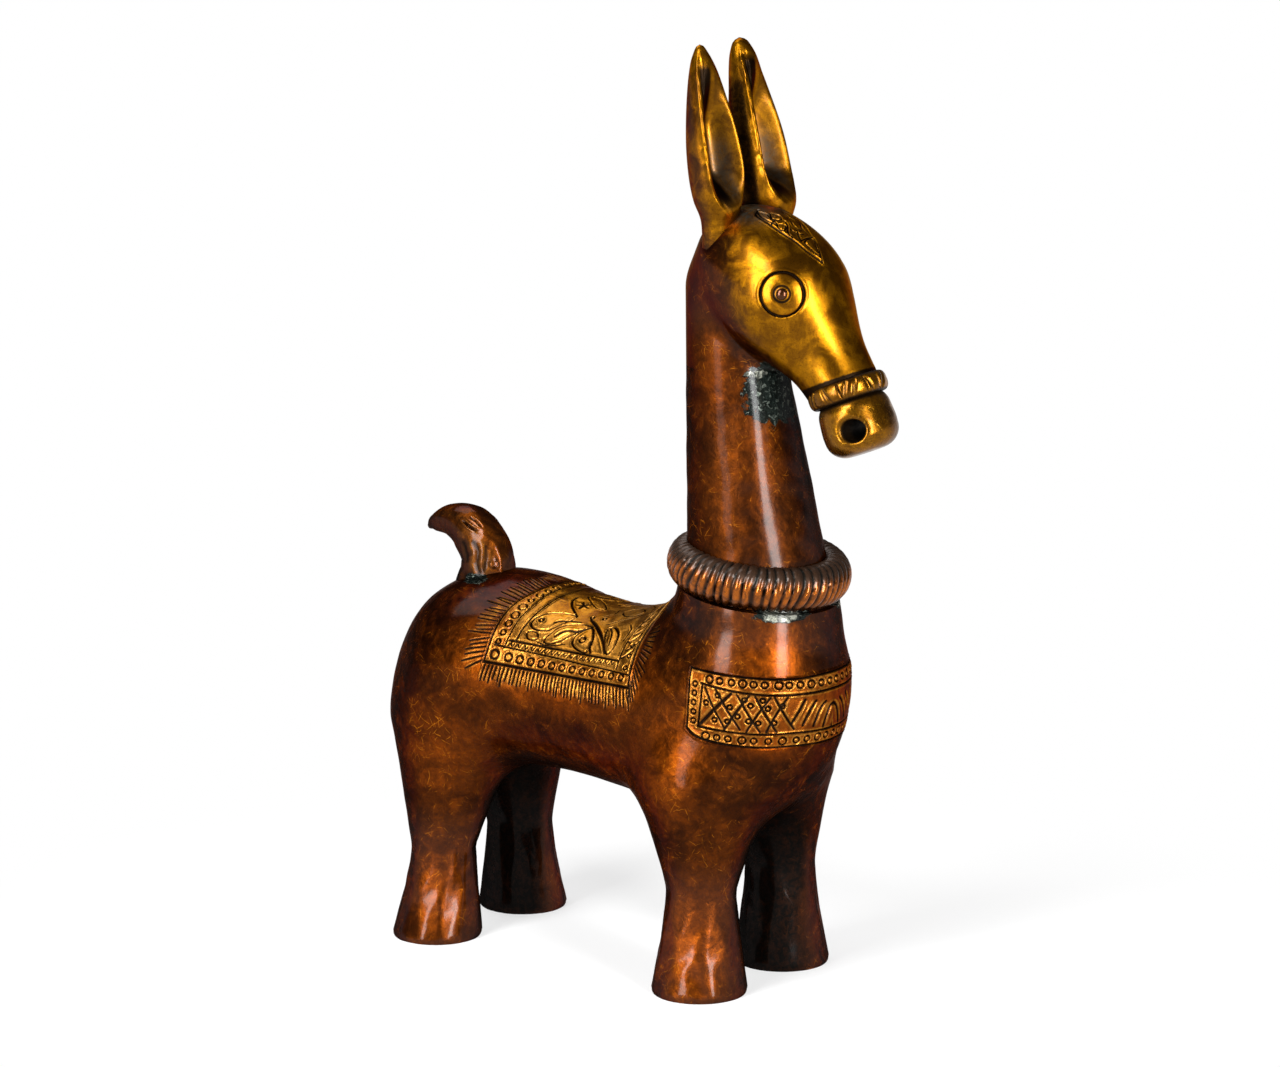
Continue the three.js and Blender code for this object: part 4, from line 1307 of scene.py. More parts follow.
@dataclass
class TrunkAndLegs:
    """The two trunk shells and the four legs, drawn from one skin so that they meet flush."""

    castings: Castings
    bench: Bench
    grain: float = 1.29  # spacing of the skin's points

    def blank(self) -> bpy.types.Object:
        """Rough out the body from balls and cones, weld it and even it out on the master form.

        Returns:
            The body's skin, one closed mesh.
        """
        c, b = self.castings, self.bench
        parts = [b.mass("haunch", c.haunch), b.mass("barrel", c.barrel), b.mass("chest", c.chest)]
        parts.append(b.ball("shoulder", c.shoulder))
        parts.append(b.cone("withers", c.shoulder, Ball(c.seat.x, c.seat.z + 12, c.seat.radius)))
        levels = [-6.0, 4.0, 14.0, 26.0, 40.0, 56.0, 72.0]
        for leg in (c.front_leg, c.rear_leg):
            x, y, radius = leg.section(np.array(levels))
            for side in (1, -1):
                stations = [Ball(x[n], levels[n], radius[n], side * y[n]) for n in range(len(levels))]
                parts += [b.cone("post", low, high, 48) for low, high in zip(stations, stations[1:])]
        skin = b.joined("body_skin", parts)
        b.modify(skin, "REMESH", mode="VOXEL", voxel_size=self.grain * MM)
        b.settle(skin, c.body, 6)
        return skin

    def ornament(self, skin: bpy.types.Object) -> None:
        """Chase the saddle cloth and the chest band, and note where the finish changes.

        Args:
            skin: The body's skin.
        """
        c, b = self.castings, self.bench
        cloth, band = SaddleCloth(), ChestBand()
        p = b.points(skin)
        b.refine(skin, cloth.zone(p) | band.zone(p), 3)
        p = b.points(skin)
        height, groove, gilt, warm = np.zeros((4, len(p)))
        for chart in (cloth, band):
            zone = np.nonzero(chart.zone(p))[0]
            p[zone] = landed(p[zone], c.body, 2)
            height[zone], groove[zone], gilt[zone], warm[zone] = chart.chase(p[zone])
        _, gradient = slope_of(p, c.body)
        normal = gradient / np.linalg.norm(gradient, axis=1, keepdims=True)
        height = height + facets(p, c) + waves(p)
        b.reshape(skin, p + normal * height[:, None])
        # painted shade: leg sides that face the other legs, and the belly's underside, are darkened towards black
        inward = -normal[:, 1] * np.sign(p[:, 1])
        foot = smoothstep(36.0, 14.0, p[:, 2])
        soot = smoothstep(0.0, 1.0, (inward + 0.12 - 0.16 * foot) / (0.46 + 0.12 * foot))
        soot *= smoothstep(88.0, 62.0, p[:, 2])
        soot = np.maximum(soot, 0.75 * smoothstep(-0.55, -0.9, normal[:, 2]) * (p[:, 2] > 40.0))
        lean = 0.75 * smoothstep(34.0, 52.0, p[:, 2]) * smoothstep(124.0, 110.0, p[:, 2])
        # warmth adds rubbed copper with a painted glow to the cloth's and band's copper ground
        b.note(skin, warm=np.maximum(warm, warmth(p)), dull=cloth.worn(p), lean=lean)
        b.note(skin, groove=groove, gilt=gilt, soot=soot)

    def build(self) -> list[bpy.types.Object]:
        """Model the skin, chase its ornament and part it into the castings.

        Returns:
            The trunk shells and the legs.
        """
        c, b = self.castings, self.bench
        skin = self.blank()
        self.ornament(skin)
        b.cut(skin, (0, 0, 0), (0, 0, -1))
        b.cut(skin, (c.seat.x, 0, c.seat.z), c.seat_frame()[:, 2])
        b.score(skin, (0, 0, 0), (0, 1, 0))
        b.score(skin, (0, 0, c.leg_cut), (0, 0, 1))
        b.remember_normals(skin)
        pieces = []
        for side, way in (("left", -1), ("right", 1)):
            shell = b.copy(skin, f"trunk_{side}_shell_cast")
            b.cut(shell, (0, 0, 0), (0, way, 0))
            b.cut(shell, (0, 0, c.leg_cut), (0, 0, -1))
            pieces.append((shell, f"trunk_{side}_shell"))
            for end, ahead in (("front", -1), ("rear", 1)):
                leg = b.copy(skin, f"{end}_{side}_leg_cast")
                b.cut(leg, (0, 0, 0), (0, way, 0))
                b.cut(leg, (0, 0, c.leg_cut), (0, 0, 1))
                b.cut(leg, (0, 0, 0), (ahead, 0, 0))
                pieces.append((leg, f"{end}_{side}_leg"))
        bpy.data.objects.remove(skin)
        for piece, node in pieces:
            b.smooth(piece)
            b.restore_normals(piece, lambda p: (np.abs(p[:, 1]) < 1e-3) | (np.abs(p[:, 2] - c.leg_cut) < 1e-3))
            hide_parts(node)
        return [piece for piece, _ in pieces]


@dataclass
class Neck:
    """The tapering neck post."""

    castings: Castings
    bench: Bench
    lift: float = 0.3  # height of its foot over the seat
    columns: int = 180
    rings: int = 110

    def build(self) -> bpy.types.Object:
        """Model the post as a fine tube on the master form.

        Returns:
            The neck.
        """
        c, b = self.castings, self.bench
        low, high = c.seat.z + self.lift, c.neck_cut
        tube = b.tube("neck_cast", self.columns, self.rings)
        x, y, share = read(tube.data.vertices, "co", 3).T
        turn = np.arctan2(y, x)
        z = low + (high - low) * share
        t = (c.neck_top.z - z) / (c.neck_top.z - c.seat.z)
        x = c.neck_top.x + (c.neck_foot.x - c.neck_top.x) * t
        radius = c.neck_top.radius + (c.neck_foot.radius - c.neck_top.radius) * t
        tilt = math.tan(math.radians(c.seat_tilt)) * (1 - share)
        z = z - radius * np.cos(turn) * tilt
        q = np.stack([x + radius * np.cos(turn), radius * np.sin(turn), z], axis=1)
        level = q[:, 2].copy()
        q = landed(q, c.neck)
        uneven = waves(q) * 1.4 * smoothstep(c.neck_cut, c.neck_cut - 10.0, level)
        q[:, :2] += uneven[:, None] * np.stack([np.cos(turn), np.sin(turn)], axis=1)
        q[:, 2] = level
        b.reshape(tube, q)
        # the whole neck takes an even darker tone; warmth adds rubbed copper with a painted glow
        b.note(tube, warm=warmth(q), lean=lean_sides(q, c), soot=np.full(len(q), 0.22))
        b.smooth(tube)
        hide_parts("neck_shell")
        return tube


@dataclass
class Head:
    """The hollow head, its eyes, the noseband and the muzzle."""

    castings: Castings
    bench: Bench
    grain: float = 1.0
    jaw_clear: float = 76.0
    bit: Ball = Ball(100.7, 210.0, 13.7)
    bit_drop: float = 67.0
    band_width: float = 7.0
    band_bore: float = 11.2
    gouges: int = 26
    muzzle_length: float = 17.9
    muzzle_radius: float = 12.6
    hole: Ball = Ball(110.1, 199.1, 3.7)
    eye: Ball = Ball(86.4, 243.5, 7.4)
    bead_radius: float = 2.0
    eye_margin: float = 2.5  # fine mesh round an eye
    eye_groove: float = 0.9  # depth of the ring round an eye
    muzzle_lap: float = 2.5  # how far the muzzle reaches into the noseband
    muzzle_grain: float = 0.55  # spacing of the muzzle's points

    @property
    def bit_axis(self) -> Array:
        """The way from the nose down through the muzzle."""
        drop = math.radians(self.bit_drop)
        return np.array([math.cos(drop), 0.0, -math.sin(drop)])

    def eye_frame(self, side: int) -> tuple[Array, Array, Array, Array]:
        """Middle of an eye on the head's side and three axes, the last straight out.

        Args:
            side: 1 for the left eye, -1 for the right.

        Returns:
            The middle, the two axes in the surface, and the normal.
        """
        near, far = 0.0, 40.0
        for _ in range(40):
            reach = (near + far) / 2
            inside = self.castings.head(np.array([[self.eye.x, side * reach, self.eye.z]]))[0] < 0
            near, far = (reach, far) if inside else (near, reach)
        middle = np.array([self.eye.x, side * near, self.eye.z])
        _, gradient = slope_of(middle[None], self.castings.head)
        normal = gradient[0] / np.linalg.norm(gradient[0])
        across = np.cross([0.0, 0.0, 1.0], normal)
        across /= np.linalg.norm(across)
        return middle, across, np.cross(normal, across), normal

    def casting(self) -> bpy.types.Object:
        """Model the head's skin, open at the neck and flat under the noseband.

        Returns:
            The head.
        """
        c, b = self.castings, self.bench
        parts = [b.mass("skull", c.skull), b.ball("nose_root", c.nose_root), b.ball("nose", c.nose)]
        parts.append(b.cone("nose_bridge", c.nose_root, c.nose))
        throat = Ball(c.neck_top.x + 3.4, 198.0, 18.6)
        parts += [b.cone("throat", throat, c.neck_top), b.ball("crown", c.neck_top)]
        head = b.joined("head_cast", parts)
        b.modify(head, "REMESH", mode="VOXEL", voxel_size=self.grain * MM)
        b.settle(head, c.head, 6)
        centres = self.face_middles(head)
        b.cut(head, (0, 0, c.neck_cut), (0, 0, -1), centres[:, 0] < self.jaw_clear)
        end = self.bit.centre - self.bit_axis * 0.15
        b.cut(head, end, self.bit_axis)
        groove = self.engrave_eyes(head)
        leaf = ForeheadLeaf()
        p = b.points(head)
        zone = leaf.zone(p)
        height, lines, inside = leaf.chase(p[zone])
        _, gradient = slope_of(p[zone], c.head)
        p[zone] += gradient * height[:, None]
        b.reshape(head, p)
        groove[zone] = np.maximum(groove[zone], lines)
        gilt = smoothstep(-23.0, -6.0, (p - [self.eye.x, 0.0, self.eye.z]) @ [0.95, 0.0, 0.30])
        gilt *= smoothstep(c.neck_cut, c.neck_cut + 10.0, p[:, 2] + 0.8 * (p[:, 0] - 80.0))
        gilt[zone] *= 1 - 0.35 * inside
        under = (p - self.bit.centre) @ self.bit_axis
        groove = np.maximum(groove, 0.95 * smoothstep(-self.band_width / 2 - 1.7, -self.band_width / 2 - 0.5, under))
        crown = smoothstep(17.0, 7.0, leaf.chart(p)[:, 0]) * smoothstep(14.0, 9.0, np.abs(p[:, 1]))
        crown *= smoothstep(248.0, 256.0, p[:, 2])
        low = smoothstep(c.neck_cut + 22.0, c.neck_cut + 6.0, p[:, 2])
        # warmth adds rubbed copper with a painted glow; the head's low back next to the neck takes the neck's darker
        # tone
        b.note(head, gilt=gilt, groove=groove, dull=crown, warm=warmth(p))
        b.note(head, lean=lean_sides(p, c) * low, soot=0.22 * low * (p[:, 0] < self.jaw_clear))
        b.smooth(head)
        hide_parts("head_shell")
        return head

    def face_middles(self, piece: bpy.types.Object) -> Array:
        """Middles of a piece's faces.

        Args:
            piece: The object.

        Returns:
            One a row, in millimetres from the middle of the feet.
        """
        middles = read(piece.data.polygons, "center", 3) / MM
        middles[:, 0] -= self.bench.shift
        return middles

    def engrave_eyes(self, head: bpy.types.Object) -> Array:
        """Sink a ring and a seat into the head for each eye disc.

        Args:
            head: The head.

        Returns:
            The groove mask, one number a point.
        """
        b = self.bench
        b.refine(head, ForeheadLeaf().zone(b.points(head)), 4)
        for side in (1, -1):
            middle = self.eye_frame(side)[0]
            near = np.linalg.norm(b.points(head) - middle, axis=1) < self.eye.radius + self.eye_margin
            b.refine(head, near, 4)
        p = b.points(head)
        groove = np.zeros(len(p))
        for side in (1, -1):
            middle, across, up, normal = self.eye_frame(side)
            out = p - middle
            reach = np.hypot(out @ across, out @ up)
            near = np.linalg.norm(out, axis=1) < self.eye.radius + self.eye_margin
            p[near] = landed(p[near], self.castings.head)
            seat = smoothstep(self.eye.radius + 0.42, self.eye.radius + 0.05, reach)
            depth = np.where(near, self.eye_groove * seat, 0.0)
            lip = np.where(near, 0.12 * hill(reach - self.eye.radius - 0.8, 0.45), 0.0)
            p += normal * (lip - depth)[:, None]
            groove = np.maximum(groove, depth / self.eye_groove)
        chased = ForeheadLeaf().zone(p)
        p[chased] = landed(p[chased], self.castings.head)
        b.reshape(head, p)
        return groove

    def unit_ball(self, name: str) -> tuple[bpy.types.Object, Array]:
        """Add a ball to be shaped, and return it with its points for a radius of 1."""
        ball = self.bench.ball(name, Ball(0, 0, 1 / MM))
        return ball, (self.bench.points(ball) + np.array([self.bench.shift, 0, 0])) * MM

    def eye_disc(self, side: int, name: str) -> bpy.types.Object:
        """Model an eye disc: a slight dome that follows the head, with a ring sunk round its bead.

        Args:
            side: 1 for the left, -1 for the right.
            name: The side's name.

        Returns:
            The disc.
        """
        b = self.bench
        disc, q = self.unit_ball(f"{name}_eye_disc_cast")
        middle, across, up, normal = self.eye_frame(side)
        turn = np.arctan2(q[:, 1], q[:, 0])
        lift = q[:, 2]
        around = np.sqrt(np.maximum(0, 1 - lift**2))
        top = lift > 0
        edge = self.eye.radius - 0.1
        reach = edge * np.where(top, around, np.minimum(1.0, around * 1.5))
        share = reach / edge
        dome = 0.03 + 0.45 * (1 - share**2) - 0.5 * smoothstep(0.93, 1.0, share) ** 2
        ring = -0.5 * hill(reach - self.bead_radius - 0.55, 0.38)
        height = np.where(top, dome + ring, -0.65 - 0.5 * (1 - around))
        flat = middle + np.outer(reach * np.cos(turn), across) + np.outer(reach * np.sin(turn), up)
        b.reshape(disc, landed(flat, self.castings.head) + normal * height[:, None])
        groove = np.where(top, smoothstep(0.0, -0.4, ring) + smoothstep(0.96, 1.0, share), 0.0)
        b.note(disc, gilt=np.ones(len(q)), groove=groove)
        b.modify(disc, "SUBSURF", levels=1, render_levels=1)
        b.smooth(disc, 60)
        b.outwards(disc)
        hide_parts(f"{name}_eye_disc")
        return disc

    def bead(self, side: int, name: str) -> bpy.types.Object:
        """Model the bead in the middle of an eye.

        Args:
            side: 1 for the left, -1 for the right.
            name: The side's name.

        Returns:
            The bead.
        """
        b = self.bench
        bead, q = self.unit_ball(f"{name}_eye_bead")
        middle, across, up, normal = self.eye_frame(side)
        flat = np.outer(q[:, 0], across) + np.outer(q[:, 1], up)
        rise = 0.1 + np.where(q[:, 2] > 0, 1.25 * q[:, 2], 0.7 * q[:, 2])
        b.reshape(bead, middle + flat * self.bead_radius + normal * rise[:, None])
        b.outwards(bead)
        b.smooth(bead, 60)
        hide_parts(f"{name}_eye_rivet")
        return bead

    def bit_points(self, radius: Array, height: Array, turn: Array) -> Array:
        """Places round the bit axis.

        Args:
            radius: Distances from the axis.
            height: Distances along the axis, down from the noseband's middle.
            turn: Angles round it, 0 at the front of the nose.

        Returns:
            Points, one a row.
        """
        down = self.bit_axis
        front = np.array([-down[2], 0.0, down[0]])
        side = np.array([0.0, 1.0, 0.0])
        return (
            self.bit.centre
            + np.outer(height, down)
            + np.outer(radius * np.cos(turn), front)
            + np.outer(radius * np.sin(turn), side)
        )

    def noseband(self) -> bpy.types.Object:
        """Model the noseband: a half-round ring with gouges across it.

        Returns:
            The ring.
        """
        b = self.bench
        bpy.ops.object.select_all(action="DESELECT")
        bpy.ops.mesh.primitive_torus_add(major_segments=360, minor_segments=36, major_radius=1.0, minor_radius=0.4)
        ring = b.settled("noseband_cast")
        q = read(ring.data.vertices, "co", 3)
        turn = np.arctan2(q[:, 1], q[:, 0])
        out = np.hypot(q[:, 0], q[:, 1]) - 1.0
        spin = np.arctan2(q[:, 2], out)
        half = self.band_width / 2
        bulge = self.bit.radius - self.band_bore
        across = half * np.sign(np.sin(spin)) * np.abs(np.sin(spin)) ** 0.8
        rise = np.where(np.cos(spin) > 0, bulge * np.cos(spin) ** 0.8, -1.0 * np.abs(np.cos(spin)))
        gouge = np.zeros(len(q))
        step = 2 * math.pi / self.gouges
        for n in range(self.gouges):
            lean = 0.035 * math.sin(5.1 * n)
            middle = (n + 0.32 * math.sin(3.7 * n)) * step + lean * across
            off = (turn - middle + math.pi) % (2 * math.pi) - math.pi
            width = 0.028 + 0.012 * math.sin(2.3 * n)
            gouge = np.maximum(gouge, hill(off, width) * (0.75 + 0.25 * math.sin(1.9 * n)))
        gouge *= smoothstep(half * 0.98, half * 0.55, np.abs(across)) * (np.cos(spin) > 0)
        b.reshape(ring, self.bit_points(self.band_bore + rise - 0.75 * gouge, across, turn))
        edge = smoothstep(half * 0.66, half * 0.92, np.abs(across))
        b.note(ring, groove=np.maximum(gouge * 0.8, edge))
        b.outwards(ring)
        b.smooth(ring, 60)
        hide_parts("noseband")
        return ring

    def muzzle_form(self, p: Array) -> Array:
        """Distances from the muzzle, a rounded barrel with a hole across it.

        Args:
            p: Points, one a row.

        Returns:
            One distance a point.
        """
        out = p - self.bit.centre
        height = out @ self.bit_axis
        reach = np.linalg.norm(out - np.outer(height, self.bit_axis), axis=1)
        start, end = self.band_width / 2 - self.muzzle_lap, self.band_width / 2 + self.muzzle_length
        middle, half = (start + end) / 2, (end - start) / 2
        swell = self.muzzle_radius + 0.2 - 0.045 * np.maximum(0, np.abs(height - middle - 1.5)) ** 1.35
        round_off = 6.0
        a = reach - (swell - round_off)
        h = np.abs(height - middle) - (half - round_off)
        barrel = np.hypot(np.maximum(a, 0), np.maximum(h, 0)) + np.minimum(np.maximum(a, h), 0) - round_off
        bore = np.hypot(p[:, 0] - self.hole.x, p[:, 2] - self.hole.z) - self.hole.radius
        return -blended(-barrel, bore, 2.2)

    def muzzle(self) -> bpy.types.Object:
        """Model the muzzle with its bit hole.

        Returns:
            The muzzle.
        """
        b = self.bench
        down = self.bit_axis
        top = self.bit.centre + down * (self.band_width / 2 - self.muzzle_lap)
        low = self.bit.centre + down * (self.band_width / 2 + self.muzzle_length)
        barrel = b.cone("muzzle_cast", Ball(top[0], top[2], 12.6), Ball(low[0], low[2], 11.2))
        bpy.ops.object.select_all(action="DESELECT")
        bpy.ops.mesh.primitive_cylinder_add(
            vertices=48,
            radius=self.hole.radius * 0.85 * MM,
            depth=40 * MM,
            location=b.place(self.hole.x, 0, self.hole.z),
            rotation=(math.pi / 2, 0, 0),
        )
        drill = b.settled("drill")
        b.modify(barrel, "BOOLEAN", operation="DIFFERENCE", object=drill, solver="EXACT")
        bpy.data.objects.remove(drill)
        b.modify(barrel, "REMESH", mode="VOXEL", voxel_size=self.muzzle_grain * MM)
        b.settle(barrel, self.muzzle_form, 14, 0.3)
        p = b.points(barrel)
        reach = np.hypot(p[:, 0] - self.hole.x, p[:, 2] - self.hole.z)
        below = (p - self.bit.centre) @ self.bit_axis
        seam = 0.95 * smoothstep(self.band_width / 2 + 1.9, self.band_width / 2 + 0.6, below)
        b.note(barrel, groove=np.maximum(smoothstep(self.hole.radius + 0.9, self.hole.radius, reach), seam))
        b.smooth(barrel, 60)
        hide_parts("muzzle")
        return barrel

    def build(self) -> list[bpy.types.Object]:
        """Model the head and what is on it.

        Returns:
            The pieces.
        """
        pieces = [self.casting(), self.noseband(), self.muzzle()]
        for side, name in ((1, "left"), (-1, "right")):
            pieces += [self.eye_disc(side, name), self.bead(side, name)]
        return pieces


def path_through(stations: Array, count: int) -> Array:
    """Even steps on a smooth line through stations.

    Args:
        stations: One station a row, its first columns a place and its last a radius.
        count: Number of steps.

    Returns:
        One row a step, with the same columns.
    """
    chord = np.linalg.norm(np.diff(stations[:, :2], axis=0), axis=1) ** 0.5
    knots = np.concatenate([[0], np.cumsum(chord)])
    fine = np.linspace(0, knots[-1], 2001)
    padded = np.vstack([2 * stations[0] - stations[1], stations, 2 * stations[-1] - stations[-2]])
    ends = np.concatenate([[2 * knots[0] - knots[1]], knots, [2 * knots[-1] - knots[-2]]])
    slopes = (padded[2:] - padded[:-2]) / (ends[2:] - ends[:-2])[:, None]
    n = np.clip(np.searchsorted(knots, fine, side="right") - 1, 0, len(knots) - 2)
    width = (knots[n + 1] - knots[n])[:, None]
    t = ((fine - knots[n])[:, None]) / width
    line = (
        (2 * t**3 - 3 * t**2 + 1) * stations[n]
        + (t**3 - 2 * t**2 + t) * width * slopes[n]
        + (3 * t**2 - 2 * t**3) * stations[n + 1]
        + (t**3 - t**2) * width * slopes[n + 1]
    )
    walked = np.concatenate([[0], np.cumsum(np.linalg.norm(np.diff(line[:, :2], axis=0), axis=1))])
    even = np.interp(np.linspace(0, walked[-1], count), walked, np.arange(len(line)))
    return np.stack([np.interp(even, np.arange(len(line)), line[:, k]) for k in range(line.shape[1])], axis=1)


@dataclass
class Ear:
    """One ear: a round horn with a long scoop in front."""

    bench: Bench
    side: int
    name: str
    stations: Sequence[tuple[float, float, float]]
    y: float = 11.9
    turn: float = 8.0
    hollow_width: float = 0.86
    hollow_depth: float = 1.3
    crowd: float = 0.12
    scoop_from: float = 0.17
    scoop_to: float = 0.93
    nicks: Sequence[tuple[float, float]] = ()
    knobs: Sequence[tuple[float, float, float]] = ()
    columns: int = 160
    rings: int = 240

    def build(self) -> bpy.types.Object:
        """Model the horn ring by ring.

        Returns:
            The ear.
        """
        b = self.bench
        line = path_through(np.array(self.stations), self.rings)
        tube = b.tube(f"{self.name}_ear_cast", self.columns, self.rings)
        q = read(tube.data.vertices, "co", 3)
        row = np.rint(q[:, 2] * (self.rings - 1)).astype(int)
        around = np.rint(np.arctan2(q[:, 1], q[:, 0]) / (2 * math.pi) * self.columns).astype(int) % self.columns
        t = np.arange(self.rings) / (self.rings - 1)
        cap = line[-1, 2] / np.linalg.norm(np.diff(line[:, :2], axis=0), axis=1).sum()
        line[:, 2] *= np.sqrt(np.clip(1 - (np.maximum(t - 1 + cap, 0) / cap) ** 2, 1e-3, 1))
        sections = np.stack([self.section(line, n) for n in range(self.rings)])
        p = sections[row, around]
        middle = np.stack([line[row, 0], np.full(len(p), self.y), line[row, 1]], axis=1)
        turn = (around / self.columns * 360 + 180) % 360 - 180
        height, marks = self.relief(t[row], turn)
        out = p - middle
        p += out / np.maximum(np.linalg.norm(out, axis=1, keepdims=True), 0.5) * height[:, None]
        p[:, 1] *= self.side
        b.reshape(tube, p)
        b.note(tube, **marks)
        if self.side < 0:
            b.outwards(tube)
        b.smooth(tube, 60)
        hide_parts(f"{self.name}_ear")
        return tube

    def relief(self, t: Array, turn: Array) -> tuple[Array, dict[str, Array]]:
        """Shape the rims of the scoop, and mark where the ear is dark, including painted shade in the scoop and on the
        side that faces the other ear.

        Args:
            t: Shares of the way up.
            turn: Degrees round the horn from its front to the outside.

        Returns:
            One height a point, and the marks.
        """
        v = turn * self.side
        rim = np.interp(t, (0.17, 0.22, 0.28, 0.36, 0.6, 0.97), (19, 45, 58, 64, 67, 72))
        scoop = smoothstep(0.14, 0.30, t) * smoothstep(0.97, 0.86, t)
        off = v + rim
        jag = 1 + 0.35 * np.sin(61 * t) * np.sin(23 * t + 1)
        height = scoop * (0.62 * jag * hill(off, 5.5) - 0.40 * hill(off - 13, 7))
        height += scoop * 0.32 * hill(v - rim + 4, 5)
        for at, size in self.nicks:
            height -= size * np.exp(-(((t - at) / 0.007) ** 2) - (off / 8) ** 2)
        for at, around, size in self.knobs:
            height += size * np.exp(-(((t - at) / 0.016) ** 2) - ((turn - around) / 20) ** 2)
        # painted shade: one wall of the scoop, its floor and the side of the horn that faces the other ear are darkened
        shaded_wall = scoop * smoothstep(4, 11, off) * smoothstep(78, 46, off) * smoothstep(0.95, 0.86, t)
        between = smoothstep(-73, -82, turn) * smoothstep(-172, -135, turn)
        between *= smoothstep(0.06, 0.2, t) * smoothstep(0.86, 0.76, t)
        low = smoothstep(0.19, 0.27, t) * smoothstep(0.60, 0.46, t) * smoothstep(-34, -18, v) * smoothstep(50, 32, v)
        root = np.maximum(smoothstep(0.12, 0.04, t), 1.5 * smoothstep(58, 86, turn) * smoothstep(0.95, 0.75, t))
        shade = scoop * smoothstep(4, 24, v) * smoothstep(72, 48, v)
        gilt = np.clip(1 - 0.25 * low - 0.5 * root - 0.12 * shade, 0, 1)
        groove = np.maximum(0.74 * shaded_wall, 0.32 * shade)
        return height, {"gilt": gilt, "groove": groove, "soot": 0.94 * between, "dull": 0.75 * low}

    def section(self, line: Array, n: int) -> Array:
        """Points of one ring of the horn, drawn on the left.

        Args:
            line: Middle line and radii.
            n: The ring's number.

        Returns:
            Points, one a column.
        """
        t = n / (self.rings - 1)
        x, z, radius = line[n]
        ahead = line[min(n + 1, self.rings - 1)] - line[max(n - 1, 0)]
        tangent = np.array([ahead[0], 0.0, ahead[1]])
        tangent /= np.linalg.norm(tangent)
        turn = math.radians(self.turn)
        outward = np.array([math.cos(turn), math.sin(turn), 0.0])
        front = outward - tangent * (outward @ tangent)
        front /= np.linalg.norm(front)
        across = np.cross(tangent, front)
        inside = min(1.0, max(0.0, t - self.scoop_from) / 0.22, max(0.0, self.scoop_to - t) / 0.35)
        share = inside * inside * (3 - 2 * inside)
        angle = 2 * math.pi * np.arange(self.columns) / self.columns
        angle = angle - self.crowd * np.sin(2 * angle)
        ahead_of, wide = radius * np.cos(angle), radius * np.sin(angle)
        reach = np.clip(np.abs(wide) / (radius * self.hollow_width), 0.0, 1.0)
        scooped = self.hollow_depth * radius * share * (1 - reach**2) ** 1.4 * (ahead_of > 0)
        ring = np.stack([ahead_of - scooped, wide], axis=1)
        middle = np.array([x, self.y, z])
        return middle + ring[:, :1] * front + ring[:, 1:] * across


